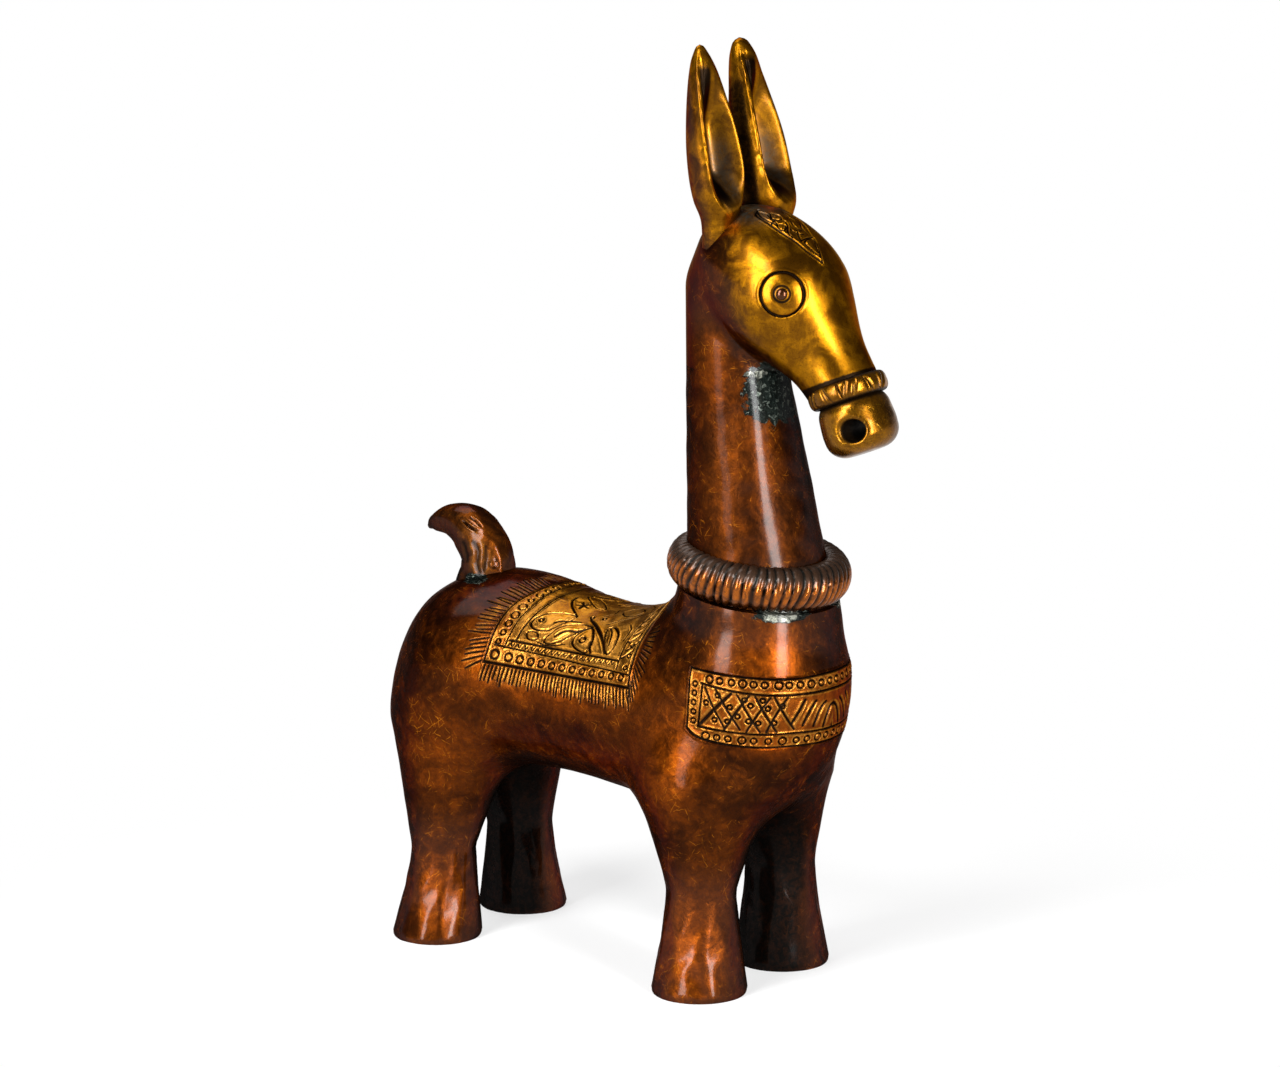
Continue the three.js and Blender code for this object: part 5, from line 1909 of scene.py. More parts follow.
@dataclass
class Tail:
    """The tail: a thick hook with carved folds and slits."""

    bench: Bench
    stations: Sequence[tuple[float, float, float]] = (
        (-54.6, 116.0, 14.4),
        (-54.2, 123.0, 11.6),
        (-53.7, 129.5, 10.0),
        (-55.1, 135.4, 9.4),
        (-61.4, 142.0, 8.5),
        (-69.5, 143.9, 6.0),
        (-77.3, 142.1, 3.1),
        (-80.2, 140.4, 1.0),
    )
    width: float = 0.9
    columns: int = 192
    rings: int = 240

    def build(self) -> bpy.types.Object:
        """Model the hook ring by ring.

        Returns:
            The tail.
        """
        b = self.bench
        line = path_through(np.array(self.stations), self.rings)
        tube = b.tube("tail_cast", self.columns, self.rings)
        q = read(tube.data.vertices, "co", 3)
        row = np.rint(q[:, 2] * (self.rings - 1)).astype(int)
        angle = np.arctan2(q[:, 1], q[:, 0])
        ahead = line[np.minimum(row + 1, self.rings - 1), :2] - line[np.maximum(row - 1, 0), :2]
        ahead /= np.linalg.norm(ahead, axis=1, keepdims=True)
        up = np.stack([ahead[:, 1], np.zeros(len(q)), -ahead[:, 0]], axis=1)
        radius = line[row, 2]
        middle = np.stack([line[row, 0], np.zeros(len(q)), line[row, 1]], axis=1)
        relief = self.carved(row / (self.rings - 1), np.degrees(np.abs(angle)))
        radius = radius + relief.height * smoothstep(1.0, 3.0, radius)
        p = middle + up * (radius * np.cos(angle))[:, None]
        p[:, 1] += radius * self.width * np.sin(angle)
        b.reshape(tube, p)
        low = smoothstep(0.30, 0.20, row / (self.rings - 1))
        groove = np.maximum(0.5 * relief.groove, 0.8 * low * (0.6 + 0.4 * np.sin(7 * angle)))
        warm = 0.12 * hill(np.degrees(np.abs(angle)) - 30, 16)
        b.note(tube, groove=groove, gilt=0.04 + 0.06 * relief.ridge, warm=warm)
        b.outwards(tube)
        b.smooth(tube, 60)
        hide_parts("tail")
        return tube

    def carved(self, t: Array, turn: Array) -> Relief:
        """Carve the slits, folds and cracks; the chart is the way along the hook, and round it.

        Args:
            t: Shares of the way along.
            turn: Degrees round the hook from its top.

        Returns:
            The relief, the same on both sides.
        """
        along, round_by = 72.0, 0.155
        relief = Relief(np.stack([t * along, turn * round_by], axis=1))
        lines = (
            (((0.604, 58), (0.564, 58), (0.523, 53), (0.497, 45)), 0.42, 0.75),
            (((0.584, 39), (0.544, 37), (0.503, 34)), 0.34, 0.55),
            (((0.456, 69), (0.396, 68), (0.329, 77), (0.248, 71)), 1.1, 0.36),
            (((0.396, 49), (0.349, 56), (0.275, 62)), 1.0, 0.28),
            (((0.383, 49), (0.383, 37)), 0.26, 0.4),
            (((0.342, 49), (0.336, 36), (0.329, 24)), 0.26, 0.4),
            (((0.50, 92), (0.42, 98), (0.34, 104)), 1.1, 0.28),
        )
        for points, width, depth in lines:
            drawn_at = tuple((at * along, degrees * round_by) for at, degrees in points)
            relief.stroke(Stroke(drawn_at, width, depth, taper=True))
        ridge = np.interp(t, (0.27, 0.33, 0.40, 0.45, 0.50, 0.58), (26, 24, 30, 42, 30, 22))
        fading = smoothstep(0.22, 0.3, t) * smoothstep(0.66, 0.58, t)
        relief.raised += 0.36 * hill(turn - ridge, 9) * fading
        relief.punch(Punch((0.31 * along, 40 * round_by), 1.6, 0.3, 0.25))
        return relief


@dataclass
class Collar:
    """The collar: a thick ring with slanted flutes."""

    castings: Castings
    bench: Bench
    x: float = 63.6
    middle: float = 25.1
    thick: float = 6.4
    high: float = 7.7
    flutes: int = 56
    depth: float = 1.75
    slant: float = 14.0
    clearance: float = 0.15  # room between the ring and the neck

    def build(self) -> bpy.types.Object:
        """Model the ring on the neck seat.

        Returns:
            The collar.
        """
        b, c = self.bench, self.castings
        bpy.ops.object.select_all(action="DESELECT")
        bpy.ops.mesh.primitive_torus_add(
            major_segments=self.flutes * 14, minor_segments=64, major_radius=1.0, minor_radius=0.4
        )
        ring = b.settled("collar_cast")
        q = read(ring.data.vertices, "co", 3)
        turn = np.arctan2(q[:, 1], q[:, 0])
        spin = np.arctan2(q[:, 2], np.hypot(q[:, 0], q[:, 1]) - 1.0)
        slanted = turn - math.radians(self.slant) * np.sin(spin) / 2 * (0.6 + 0.4 * np.sin(2 * turn + 0.5))
        slanted += 0.012 * np.sin(9 * turn) + 0.009 * np.sin(23 * turn + 1.0) + 0.006 * np.sin(5 * turn + 3 * spin)
        wave = np.sin(self.flutes * slanted / 2)
        number = np.floor(self.flutes * slanted / (2 * math.pi))
        wander = 0.5 + 0.5 * np.sin(3.1 * number) * np.cos(1.7 * number)
        flute = 1 - np.abs(wave) ** (0.55 + 0.45 * wander)
        top = smoothstep(0.1, 0.75, np.sin(spin))
        outer = smoothstep(-0.75, 0.0, np.cos(spin))
        flute *= outer * (0.6 + 0.4 * wander) * (1 - 0.30 * top)
        thick = self.thick - self.depth * flute
        high = self.high - self.depth * flute
        radius = self.middle + thick * np.cos(spin)
        rise = 0.3 + self.high + high * np.sin(spin)
        p = np.stack([self.x - c.seat.x + radius * np.cos(turn), radius * np.sin(turn), rise], axis=1)
        p = p @ c.seat_frame().T + c.seat.centre
        inner = c.neck(p) < self.clearance
        p[inner] = landed(p[inner], lambda at: c.neck(at) - self.clearance)
        b.reshape(ring, p)
        rubbed = smoothstep(0.62, 0.1, np.sin(spin)) * smoothstep(-0.85, -0.3, np.sin(spin))
        b.note(ring, groove=np.clip(flute * (1 + 0.60 * top), 0, 1), dull=top, gilt=rubbed)
        b.outwards(ring)
        b.smooth(ring, 70)
        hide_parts("collar_ring")
        return ring


# Finishes


class Slot(Enum):
    """The record's material slots."""

    PATINA = "patinated_copper_brown"
    COLLAR = "rubbed_copper"
    BRASS = "burnished_brass"
    SOLE = "worn_brass"
    BEAD = "copper_bead"


class Graph:
    """A node tree under construction."""

    def __init__(self, tree: bpy.types.NodeTree) -> None:
        """Keep the tree."""
        self.tree = tree

    def add(self, kind: str, **settings: object) -> bpy.types.Node:
        """Add a node.

        Args:
            kind: Its type without the word ShaderNode.
            settings: Its own settings.

        Returns:
            The node.
        """
        node = self.tree.nodes.new(kind if kind.startswith("Node") else f"ShaderNode{kind}")
        for key, value in settings.items():
            setattr(node, key, value)
        return node

    def feed(self, socket: bpy.types.NodeSocket, value: object) -> None:
        """Link a socket to another one, or set its value.

        Args:
            socket: The input.
            value: A socket, or a value; a colour of three numbers is opaque.
        """
        if isinstance(value, bpy.types.NodeSocket):
            self.tree.links.new(value, socket)
        elif socket.type == "RGBA" and len(value) == 3:
            socket.default_value = (*value, 1.0)
        else:
            socket.default_value = value

    def fill(self, node: bpy.types.Node, **values: object) -> bpy.types.Node:
        """Feed a node's inputs.

        Args:
            node: The node.
            values: What its inputs get, by name; an underscore stands for a space.

        Returns:
            The node.
        """
        for key, value in values.items():
            self.feed(node.inputs[key.replace("_", " ")], value)
        return node

    def math(self, kind: str, *values: object, clamp: bool = False) -> bpy.types.NodeSocket:
        """Add a Math node.

        Args:
            kind: Its operation.
            values: What its inputs get.
            clamp: Whether its result stays between 0 and 1.

        Returns:
            Its result.
        """
        node = self.add("Math", operation=kind, use_clamp=clamp)
        for socket, value in zip(node.inputs, values):
            self.feed(socket, value)
        return node.outputs[0]

    def fade(self, value: object, low: float, high: float, start: float = 0.0, end: float = 1.0) -> object:
        """Map a value smoothly from one range to another.

        Args:
            value: The value.
            low: Value at which the fade starts.
            high: Value at which it ends.
            start: Result at its start.
            end: Result at its end.

        Returns:
            The mapped value.
        """
        node = self.add("MapRange", interpolation_type="SMOOTHSTEP")
        self.fill(node, Value=value, From_Min=low, From_Max=high, To_Min=start, To_Max=end)
        return node.outputs[0]

    def times(self, first: object, second: object) -> bpy.types.NodeSocket:
        """Multiply two values."""
        return self.math("MULTIPLY", first, second)

    def plus(self, first: object, second: object) -> bpy.types.NodeSocket:
        """Add two values."""
        return self.math("ADD", first, second)

    def less(self, first: object, second: object) -> bpy.types.NodeSocket:
        """Take the second value from the first."""
        return self.math("SUBTRACT", first, second)

    def most(self, first: object, second: object) -> bpy.types.NodeSocket:
        """The greater of two values."""
        return self.math("MAXIMUM", first, second)

    def blend(self, factor: object, first: object, second: object) -> bpy.types.NodeSocket:
        """Mix two colours.

        Args:
            factor: Share of the second colour.
            first: A colour.
            second: Another.

        Returns:
            The mixed colour.
        """
        node = self.add("Mix", data_type="RGBA")
        self.feed(node.inputs["Factor"], factor)
        self.feed(node.inputs[6], first)
        self.feed(node.inputs[7], second)
        return node.outputs[2]

    def noise(self, vector: object, scale: float, detail: float = 3.0, rough: float = 0.5, warp: float = 0.0) -> object:
        """Add a noise texture.

        Args:
            vector: Coordinates.
            scale: Waves a metre.
            detail: Number of finer layers.
            rough: Strength of the finer layers.
            warp: How far it is distorted.

        Returns:
            Its value.
        """
        node = self.add("TexNoise")
        self.fill(node, Vector=vector, Scale=scale, Detail=detail, Roughness=rough, Distortion=warp)
        return node.outputs[0]

    def mark(self, name: str) -> bpy.types.NodeSocket:
        """Read a number that a piece stores for each point."""
        return self.add("Attribute", attribute_name=name).outputs["Fac"]

    def vector(self, kind: str, *values: object) -> bpy.types.Node:
        """Add a Vector Math node.

        Args:
            kind: Its operation.
            values: What its inputs get.

        Returns:
            The node.
        """
        node = self.add("VectorMath", operation=kind)
        for socket, value in zip(node.inputs, values):
            self.feed(socket, value)
        return node

    def use(self, group: bpy.types.NodeTree, **values: object) -> bpy.types.Node:
        """Place a shared effect.

        Args:
            group: The effect's tree.
            values: What its inputs get.

        Returns:
            The node.
        """
        return self.fill(self.add("Group", node_tree=group), **values)


def effect(name: str, takes: dict[str, object], gives: Sequence[str]) -> tuple[Graph, object, object]:
    """Start a shared effect.

    Args:
        name: The group's name.
        takes: Its inputs with their default values; None is a vector.
        gives: Its outputs, all plain numbers.

    Returns:
        The graph, its input node's outputs and its output node's inputs.
    """
    tree = bpy.data.node_groups.new(name, "ShaderNodeTree")
    for key, value in takes.items():
        kind = "NodeSocketVector" if value is None else "NodeSocketFloat"
        socket = tree.interface.new_socket(name=key, in_out="INPUT", socket_type=kind)
        if value is not None:
            socket.default_value = value
    for key in gives:
        tree.interface.new_socket(name=key, in_out="OUTPUT", socket_type="NodeSocketFloat")
    graph = Graph(tree)
    return graph, graph.add("NodeGroupInput").outputs, graph.add("NodeGroupOutput").inputs


def mottle_effect() -> bpy.types.NodeTree:
    """Cloudy patches of a heat-coloured patina at three sizes.

    Returns:
        The group, which gives Patches, Clouds and Grain.
    """
    graph, takes, gives = effect("mottle", {"Vector": None, "Size": 0.02}, ("Patches", "Clouds", "Grain"))
    rate = graph.math("DIVIDE", 1.0, takes["Size"])
    for key, times, detail, warp in (("Patches", 1.0, 4.0, 0.6), ("Clouds", 3.7, 5.0, 0.9), ("Grain", 17.0, 3.0, 0.3)):
        shade = graph.noise(takes["Vector"], graph.times(rate, times), detail, 0.62, warp)
        graph.feed(gives[key], graph.fade(shade, 0.34, 0.66))
    return graph.tree


def hairline_effect() -> bpy.types.NodeTree:
    """Short fine scratches that lie in every direction.

    Returns:
        The group, which gives Mask.
    """
    takes = {"Vector": None, "Spacing": 0.004, "Width": 0.00012, "Bend": 0.0006}
    graph, takes, gives = effect("hairlines", takes, ("Mask",))
    rate = graph.math("DIVIDE", 0.9, takes["Spacing"])
    wave = graph.fill(graph.add("TexNoise"), Vector=takes["Vector"], Scale=rate)
    sway = graph.vector("SUBTRACT", wave.outputs["Color"], (0.5, 0.5, 0.5)).outputs[0]
    scale = graph.fill(graph.vector("SCALE", sway), Scale=graph.times(takes["Bend"], 4.0))
    place = graph.vector("ADD", takes["Vector"], scale.outputs[0]).outputs[0]
    rate = graph.math("DIVIDE", 1.0, takes["Spacing"])
    cells = graph.fill(graph.add("TexVoronoi"), Vector=place, Scale=rate)
    lean = graph.vector("SUBTRACT", cells.outputs["Color"], (0.5, 0.5, 0.5)).outputs[0]
    lean = graph.vector("NORMALIZE", lean).outputs[0]
    out = graph.vector("SUBTRACT", place, cells.outputs["Position"]).outputs[0]
    off = graph.math("ABSOLUTE", graph.vector("DOT_PRODUCT", out, lean).outputs["Value"])
    line = graph.fade(off, takes["Width"], 0.0)
    reach = graph.fade(cells.outputs["Distance"], 0.62, 0.35)
    graph.feed(gives["Mask"], graph.times(line, reach))
    return graph.tree


def dent_effect() -> bpy.types.NodeTree:
    """Height of a hand-finished casting: broad hollows, small dings and pores.

    Returns:
        The group, which gives Height.
    """
    graph, takes, gives = effect("dents", {"Vector": None, "Broad": 1.0, "Small": 1.0, "Pores": 1.0}, ("Height",))
    broad = graph.times(graph.noise(takes["Vector"], 55.0, 2.0, 0.5, 0.4), takes["Broad"])
    small = graph.times(graph.noise(takes["Vector"], 260.0, 3.0, 0.5, 0.8), takes["Small"])
    cells = graph.fill(graph.add("TexVoronoi"), Vector=takes["Vector"], Scale=210.0)
    pits = graph.times(graph.fade(cells.outputs["Distance"], 0.0, 0.13), takes["Pores"])
    height = graph.plus(graph.times(broad, 4.0), graph.times(small, 0.7))
    graph.feed(gives["Height"], graph.plus(height, graph.times(pits, 0.5)))
    return graph.tree


def patch_effect() -> bpy.types.NodeTree:
    """A ragged patch round a place, on both sides of the middle plane.

    Returns:
        The group, which gives Mask.
    """
    takes = {"Vector": None, "Middle": None, "Stretch": None, "Radius": 0.01, "Ragged": 0.004, "Soft": 0.001}
    graph, takes, gives = effect("patch", takes, ("Mask",))
    mirrored = graph.vector("MULTIPLY", graph.vector("ABSOLUTE", takes["Vector"]).outputs[0], (0, 1, 0)).outputs[0]
    flat = graph.vector("MULTIPLY", takes["Vector"], (1, 0, 1)).outputs[0]
    place = graph.vector("ADD", mirrored, flat).outputs[0]
    out = graph.vector("SUBTRACT", place, takes["Middle"]).outputs[0]
    reach = graph.vector("LENGTH", graph.vector("MULTIPLY", out, takes["Stretch"]).outputs[0]).outputs["Value"]
    ragged = graph.less(graph.noise(takes["Vector"], 190.0, 5.0, 0.6, 0.5), 0.5)
    reach = graph.plus(reach, graph.times(ragged, graph.times(takes["Ragged"], 3.0)))
    edge = graph.math("DIVIDE", graph.less(reach, takes["Radius"]), takes["Soft"])
    graph.feed(gives["Mask"], graph.fade(edge, 0.5, -0.5))
    return graph.tree


Colour = tuple[float, float, float]


@dataclass(frozen=True)
class Effects:
    """The shared effects, each built once."""

    mottle: bpy.types.NodeTree
    hairlines: bpy.types.NodeTree
    dents: bpy.types.NodeTree
    patch: bpy.types.NodeTree

    @classmethod
    def build(cls) -> "Effects":
        """Build every effect."""
        return cls(mottle_effect(), hairline_effect(), dent_effect(), patch_effect())


@dataclass(frozen=True)
class Patch:
    """A place where the metal shows differently, in millimetres from the middle of the feet."""

    middle: Colour
    stretch: Colour
    radius: float
    ragged: float
    soft: float


@dataclass(frozen=True)
class Finish:
    """What every finish of the figurine shares."""

    name: str
    effects: Effects
    shift: float

    def start(self) -> tuple[bpy.types.Material, Graph, bpy.types.Node, object]:
        """Start a material.

        Returns:
            The material, its graph, its shader and the Object coordinates.
        """
        material = bpy.data.materials.new(self.name)
        material.use_nodes = True
        graph = Graph(material.node_tree)
        return material, graph, material.node_tree.nodes["Principled BSDF"], graph.add("TexCoord").outputs["Object"]

    def masked(self, graph: Graph, place: object, patches: Sequence[Patch]) -> object:
        """Join patches into one mask.

        Args:
            graph: The material's graph.
            place: Coordinates.
            patches: The patches.

        Returns:
            Their mask.
        """
        total: object = 0.0
        for patch in patches:
            x, y, z = patch.middle
            middle = ((x + self.shift) * MM, y * MM, z * MM)
            sizes = {"Radius": patch.radius * MM, "Ragged": patch.ragged * MM, "Soft": patch.soft * MM}
            node = graph.use(self.effects.patch, Vector=place, Middle=middle, Stretch=patch.stretch, **sizes)
            total = graph.most(node.outputs[0], total)
        return total

    def scratches(self, graph: Graph, place: object, sets: Sequence[tuple[float, float]]) -> object:
        """Lay sets of hairline scratches over each other.

        Args:
            graph: The material's graph.
            place: Coordinates.
            sets: Spacing and width of each set, in millimetres.

        Returns:
            Their mask.
        """
        total: object = 0.0
        for number, (spacing, width) in enumerate(sets):
            moved = graph.vector("ADD", place, (0.37 * number, 0.11 * number, 0.53 * number)).outputs[0]
            sizes = {"Spacing": spacing * MM, "Width": width * MM, "Bend": spacing * 0.12 * MM}
            node = graph.use(self.effects.hairlines, Vector=moved, **sizes)
            total = graph.most(node.outputs[0], total)
        return total

    def facing(self, graph: Graph, cover: object) -> object:
        """Thin the lacquer where the surface turns away, as the dark rims of the castings show."""
        layer = graph.fill(graph.add("LayerWeight"), Blend=0.5)
        return graph.times(cover, graph.fade(layer.outputs["Facing"], 0.2, 0.72, 1.0, 0.06))

    def bump(self, graph: Graph, shader: bpy.types.Node, height: object, distance: float) -> None:
        """Feed a height to the shader's normal."""
        node = graph.fill(graph.add("Bump"), Strength=1.0, Distance=distance * MM, Height=height)
        graph.fill(shader, Normal=node.outputs[0])


@dataclass(frozen=True)
class Patina(Finish):
    """Lacquered red-brown patina over brass, left golden where the gilt mark says so."""

    black: Colour = (0.0035, 0.0030, 0.0026)
    dark: Colour = (0.016, 0.0040, 0.0008)
    brown: Colour = (0.060, 0.0136, 0.0012)
    rust: Colour = (0.17, 0.036, 0.0017)
    # bright orange of rubbed copper, also used for the painted glow
    glow: Colour = (0.60, 0.115, 0.003)
    hair: Colour = (0.42, 0.13, 0.006)
    gilt: Colour = (0.51, 0.226, 0.036)
    gilt_deep: Colour = (0.24, 0.090, 0.010)
    grey: Colour = (0.060, 0.050, 0.036)
    solder: Colour = (0.010, 0.014, 0.012)
    solder_light: Colour = (0.085, 0.10, 0.085)
    flux: Colour = (0.34, 0.35, 0.29)
    rim: Colour = (0.22, 0.07, 0.02)
    cover: float = 0.25  # weight of the lacquer
    rough_hands: float = 1.0  # strength of the small dents
    gold_sheen: float = 0.30  # roughness of the golden places

    def hue(self, graph: Graph, mottle: object, fine: object, hair: object) -> object:
        """The patina's own colour, before gilt, solder, painted shade and dark tone.

        Args:
            graph: The material's graph.
            mottle: Outputs of the coarse patches.
            fine: Outputs of the fine patches.
            hair: Mask of the scratches.

        Returns:
            The colour.
        """
        base = graph.blend(mottle["Patches"], self.dark, self.brown)
        warm = graph.times(mottle["Clouds"], graph.fade(fine["Patches"], 0.1, 0.9, 0.2, 1.0))
        base = graph.blend(graph.times(warm, 0.42), base, self.rust)
        # rubbed copper with a painted glow, blended towards the bright orange
        lit = graph.times(graph.mark("warm"), graph.fade(mottle["Clouds"], 0.0, 1.0, 0.6, 1.0))
        base = graph.blend(lit, base, self.glow)
        base = graph.blend(graph.times(fine["Clouds"], 0.4), base, self.dark)
        return graph.blend(hair, base, self.hair)

    def golden(self, graph: Graph, mottle: object, fine: object, hair: object) -> object:
        """The colour of the golden places.

        Args:
            graph: The material's graph.
            mottle: Outputs of the coarse patches.
            fine: Outputs of the fine patches.
            hair: Mask of the scratches.

        Returns:
            The colour.
        """
        gold = graph.blend(graph.fade(mottle["Clouds"], 0.0, 1.0, 0.4, 1.0), self.gilt_deep, self.gilt)
        gold = graph.blend(graph.times(fine["Clouds"], 0.45), gold, self.gilt_deep)
        gold = graph.blend(graph.fade(fine["Grain"], 0.80, 1.0, 0.0, 0.5), gold, self.dark)
        return graph.blend(graph.times(hair, 0.3), gold, self.gilt)

    def material(self) -> bpy.types.Material:
        """Build the material.

        Returns:
            The material.
        """
        material, graph, shader, place = self.start()
        mottle = graph.use(self.effects.mottle, Vector=place, Size=0.030).outputs
        fine = graph.use(self.effects.mottle, Vector=place, Size=0.007).outputs
        hair = self.scratches(graph, place, ((4.2, 0.12), (2.6, 0.09), (6.5, 0.15)))
        worn = graph.fade(mottle["Clouds"], 0.5, 1.0, 0.03, 0.5)
        hair = graph.times(hair, graph.most(worn, self.masked(graph, place, SCUFFS)))
        gilt = graph.mark("gilt")
        uneven = graph.times(graph.less(mottle["Clouds"], 0.5), 0.35)
        uneven = graph.times(uneven, graph.fade(gilt, 0.0, 0.3))
        gilt = graph.math("ADD", gilt, uneven, clamp=True)
        base = graph.blend(gilt, self.hue(graph, mottle, fine, hair), self.golden(graph, mottle, fine, hair))
        dull = graph.times(graph.mark("dull"), graph.fade(fine["Clouds"], 0.1, 0.9, 1.0, 0.5))
        base = graph.blend(dull, base, self.grey)
        # painted shade on inward leg sides, the belly's underside and between the ears, and an even darker tone on the
        # neck, blend towards black
        soot = graph.times(graph.mark("soot"), graph.fade(fine["Clouds"], 0.0, 1.0, 0.88, 1.0))
        base = graph.blend(soot, base, self.black)
        groove = graph.mark("groove")
        base = graph.blend(graph.fade(groove, 0.06, 0.66, 0.0, 0.97), base, self.black)
        solder = self.masked(graph, place, SOLDER)
        metal = graph.blend(graph.fade(fine["Clouds"], 0.66, 1.0), self.solder, self.solder_light)
        base = graph.blend(solder, base, metal)
        crusts = graph.fade(fine["Clouds"], 0.25, 0.7, 0.2, 1.0)
        bright = graph.times(self.masked(graph, place, FLUX), crusts)
        base = graph.blend(bright, base, self.flux)
        graph.fill(shader, Base_Color=base, Metallic=graph.fade(gilt, 0.0, 1.0, 0.93, 0.98))
        rough = graph.fade(mottle["Clouds"], 0.0, 1.0, 0.36, 0.46)
        matt = graph.most(graph.most(groove, soot), dull)
        rough = graph.plus(rough, graph.times(matt, 0.2))
        sheen = graph.times(gilt, 0.41 - self.gold_sheen)
        rough = graph.less(rough, sheen)
        graph.fill(shader, Roughness=rough, Specular_IOR_Level=0.1, Specular_Tint=self.rim)
        bare = graph.fade(graph.most(groove, graph.times(soot, 0.55)), 0.0, 0.8, 1.0, 0.1)
        cover = graph.times(graph.fade(gilt, 0.0, 1.0, self.cover, 0.05), bare)
        cover = graph.times(cover, graph.less(1.0, graph.mark("lean")))
        graph.fill(shader, Coat_Weight=self.facing(graph, cover), Coat_Roughness=0.14, Coat_IOR=1.45)
        rough_hands = {"Broad": self.rough_hands, "Small": self.rough_hands * 0.9, "Pores": self.rough_hands * 0.25}
        dents = graph.use(self.effects.dents, Vector=place, **rough_hands).outputs[0]
        lumps = graph.times(graph.times(solder, fine["Clouds"]), 1.6)
        height = graph.plus(graph.less(dents, graph.times(hair, 0.12)), lumps)
        self.bump(graph, shader, height, 0.34)
        return material


@dataclass(frozen=True)
class Brass(Finish):
    """Polished golden brass, black in its grooves."""

    bright: Colour = (0.28, 0.112, 0.003)
    deep: Colour = (0.115, 0.042, 0.002)
    tarnish: Colour = (0.045, 0.018, 0.003)
    black: Colour = (0.005, 0.004, 0.003)
    hair: Colour = (0.50, 0.27, 0.02)

    def material(self) -> bpy.types.Material:
        """Build the material.

        Returns:
            The material.
        """
        material, graph, shader, place = self.start()
        mottle = graph.use(self.effects.mottle, Vector=place, Size=0.022).outputs
        fine = graph.use(self.effects.mottle, Vector=place, Size=0.006).outputs
        base = graph.blend(mottle["Patches"], self.deep, self.bright)
        base = graph.blend(graph.times(mottle["Clouds"], 0.35), base, self.deep)
        base = graph.blend(graph.times(graph.fade(fine["Clouds"], 0.5, 1.0), 0.4), base, self.tarnish)
        hair = graph.times(self.scratches(graph, place, ((4.5, 0.10), (2.8, 0.08))), 0.4)
        base = graph.blend(hair, base, self.hair)
        groove = graph.mark("groove")
        base = graph.blend(graph.times(groove, 0.95), base, self.black)
        rough = graph.fade(mottle["Clouds"], 0.0, 1.0, 0.24, 0.34)
        rough = graph.plus(rough, graph.times(groove, 0.25))
        cover = self.facing(graph, graph.fade(groove, 0.0, 1.0, 0.08, 0.02))
        graph.fill(shader, Base_Color=base, Metallic=0.95, Roughness=rough, Specular_IOR_Level=0.2)
        graph.fill(shader, Coat_Weight=cover, Coat_Roughness=0.1)
        dents = graph.use(self.effects.dents, Vector=place, Broad=0.5, Small=0.6, Pores=0.15).outputs[0]
        height = graph.less(dents, graph.times(hair, 0.1))
        self.bump(graph, shader, height, 0.26)
        return material


@dataclass(frozen=True)
class Rubbed(Finish):
    """Copper that shines on its ridges and is green-grey in its hollows."""

    ridge: Colour = (0.34, 0.085, 0.004)
    flank: Colour = (0.060, 0.017, 0.003)
    hollow: Colour = (0.006, 0.007, 0.006)
    top: Colour = (0.036, 0.018, 0.010)
    roughness: float = 0.22

    def material(self) -> bpy.types.Material:
        """Build the material.

        Returns:
            The material.
        """
        material, graph, shader, place = self.start()
        mottle = graph.use(self.effects.mottle, Vector=place, Size=0.012).outputs
        groove = graph.mark("groove")
        worn = graph.mark("gilt")
        rubbed = graph.times(graph.fade(groove, 0.45, 0.1), worn)
        rubbed = graph.times(rubbed, graph.fade(mottle["Clouds"], 0.1, 0.9, 0.4, 1.0))
        dull = graph.mark("dull")
        base = graph.blend(dull, self.flank, self.top)
        base = graph.blend(rubbed, base, self.ridge)
        base = graph.blend(graph.fade(groove, 0.28, 0.72, 0.0, 0.94), base, self.hollow)
        graph.fill(shader, Base_Color=base, Metallic=graph.fade(dull, 0.0, 1.0, 0.9, 0.6))
        rough = graph.plus(graph.times(graph.most(groove, dull), 0.22), self.roughness)
        cover = self.facing(graph, graph.fade(groove, 0.0, 0.8, 0.3, 0.03))
        graph.fill(shader, Roughness=rough, Specular_IOR_Level=0.2, Coat_Weight=cover, Coat_Roughness=0.12)
        dents = graph.use(self.effects.dents, Vector=place, Broad=0.3, Small=0.8, Pores=0.3).outputs[0]
        self.bump(graph, shader, dents, 0.25)
        return material


# Places of the patina that differ: scuffs, solder and pale flux
SCUFFS = (
    Patch((-72.0, 20.0, 100.0), (1.0, 1.0, 2.2), 8.0, 5.0, 3.0),
    Patch((-50.0, 38.0, 78.0), (1.0, 1.0, 1.6), 8.0, 6.0, 3.0),
    Patch((52.0, 24.0, 160.0), (1.0, 1.0, 1.8), 8.0, 5.0, 3.0),
)
SOLDER = (
    Patch((73.5, 4.0, 207.6), (0.8, 0.85, 0.75), 9.0, 3.4, 0.5),
    Patch((84.0, 14.0, 134.6), (0.75, 0.75, 2.4), 7.5, 2.4, 0.6),
    Patch((-50.0, 10.0, 127.0), (0.8, 0.9, 3.4), 5.0, 3.0, 0.6),
)
FLUX = (
    Patch((83.0, 14.0, 133.6), (0.7, 0.7, 2.2), 5.0, 2.6, 0.8),
    Patch((74.0, 11.5, 213.6), (0.7, 0.7, 1.8), 4.2, 2.2, 0.6),
)


def dress(piece: bpy.types.Object, material: bpy.types.Material) -> None:
    """Give a piece its finish and its place on the body.

    Args:
        piece: The piece.
        material: Its material.
    """
    piece.data.materials.clear()
    piece.data.materials.append(material)
    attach(piece, "root")
    LOG.info("%s: %d points", piece.name, len(piece.data.vertices))


# The studio


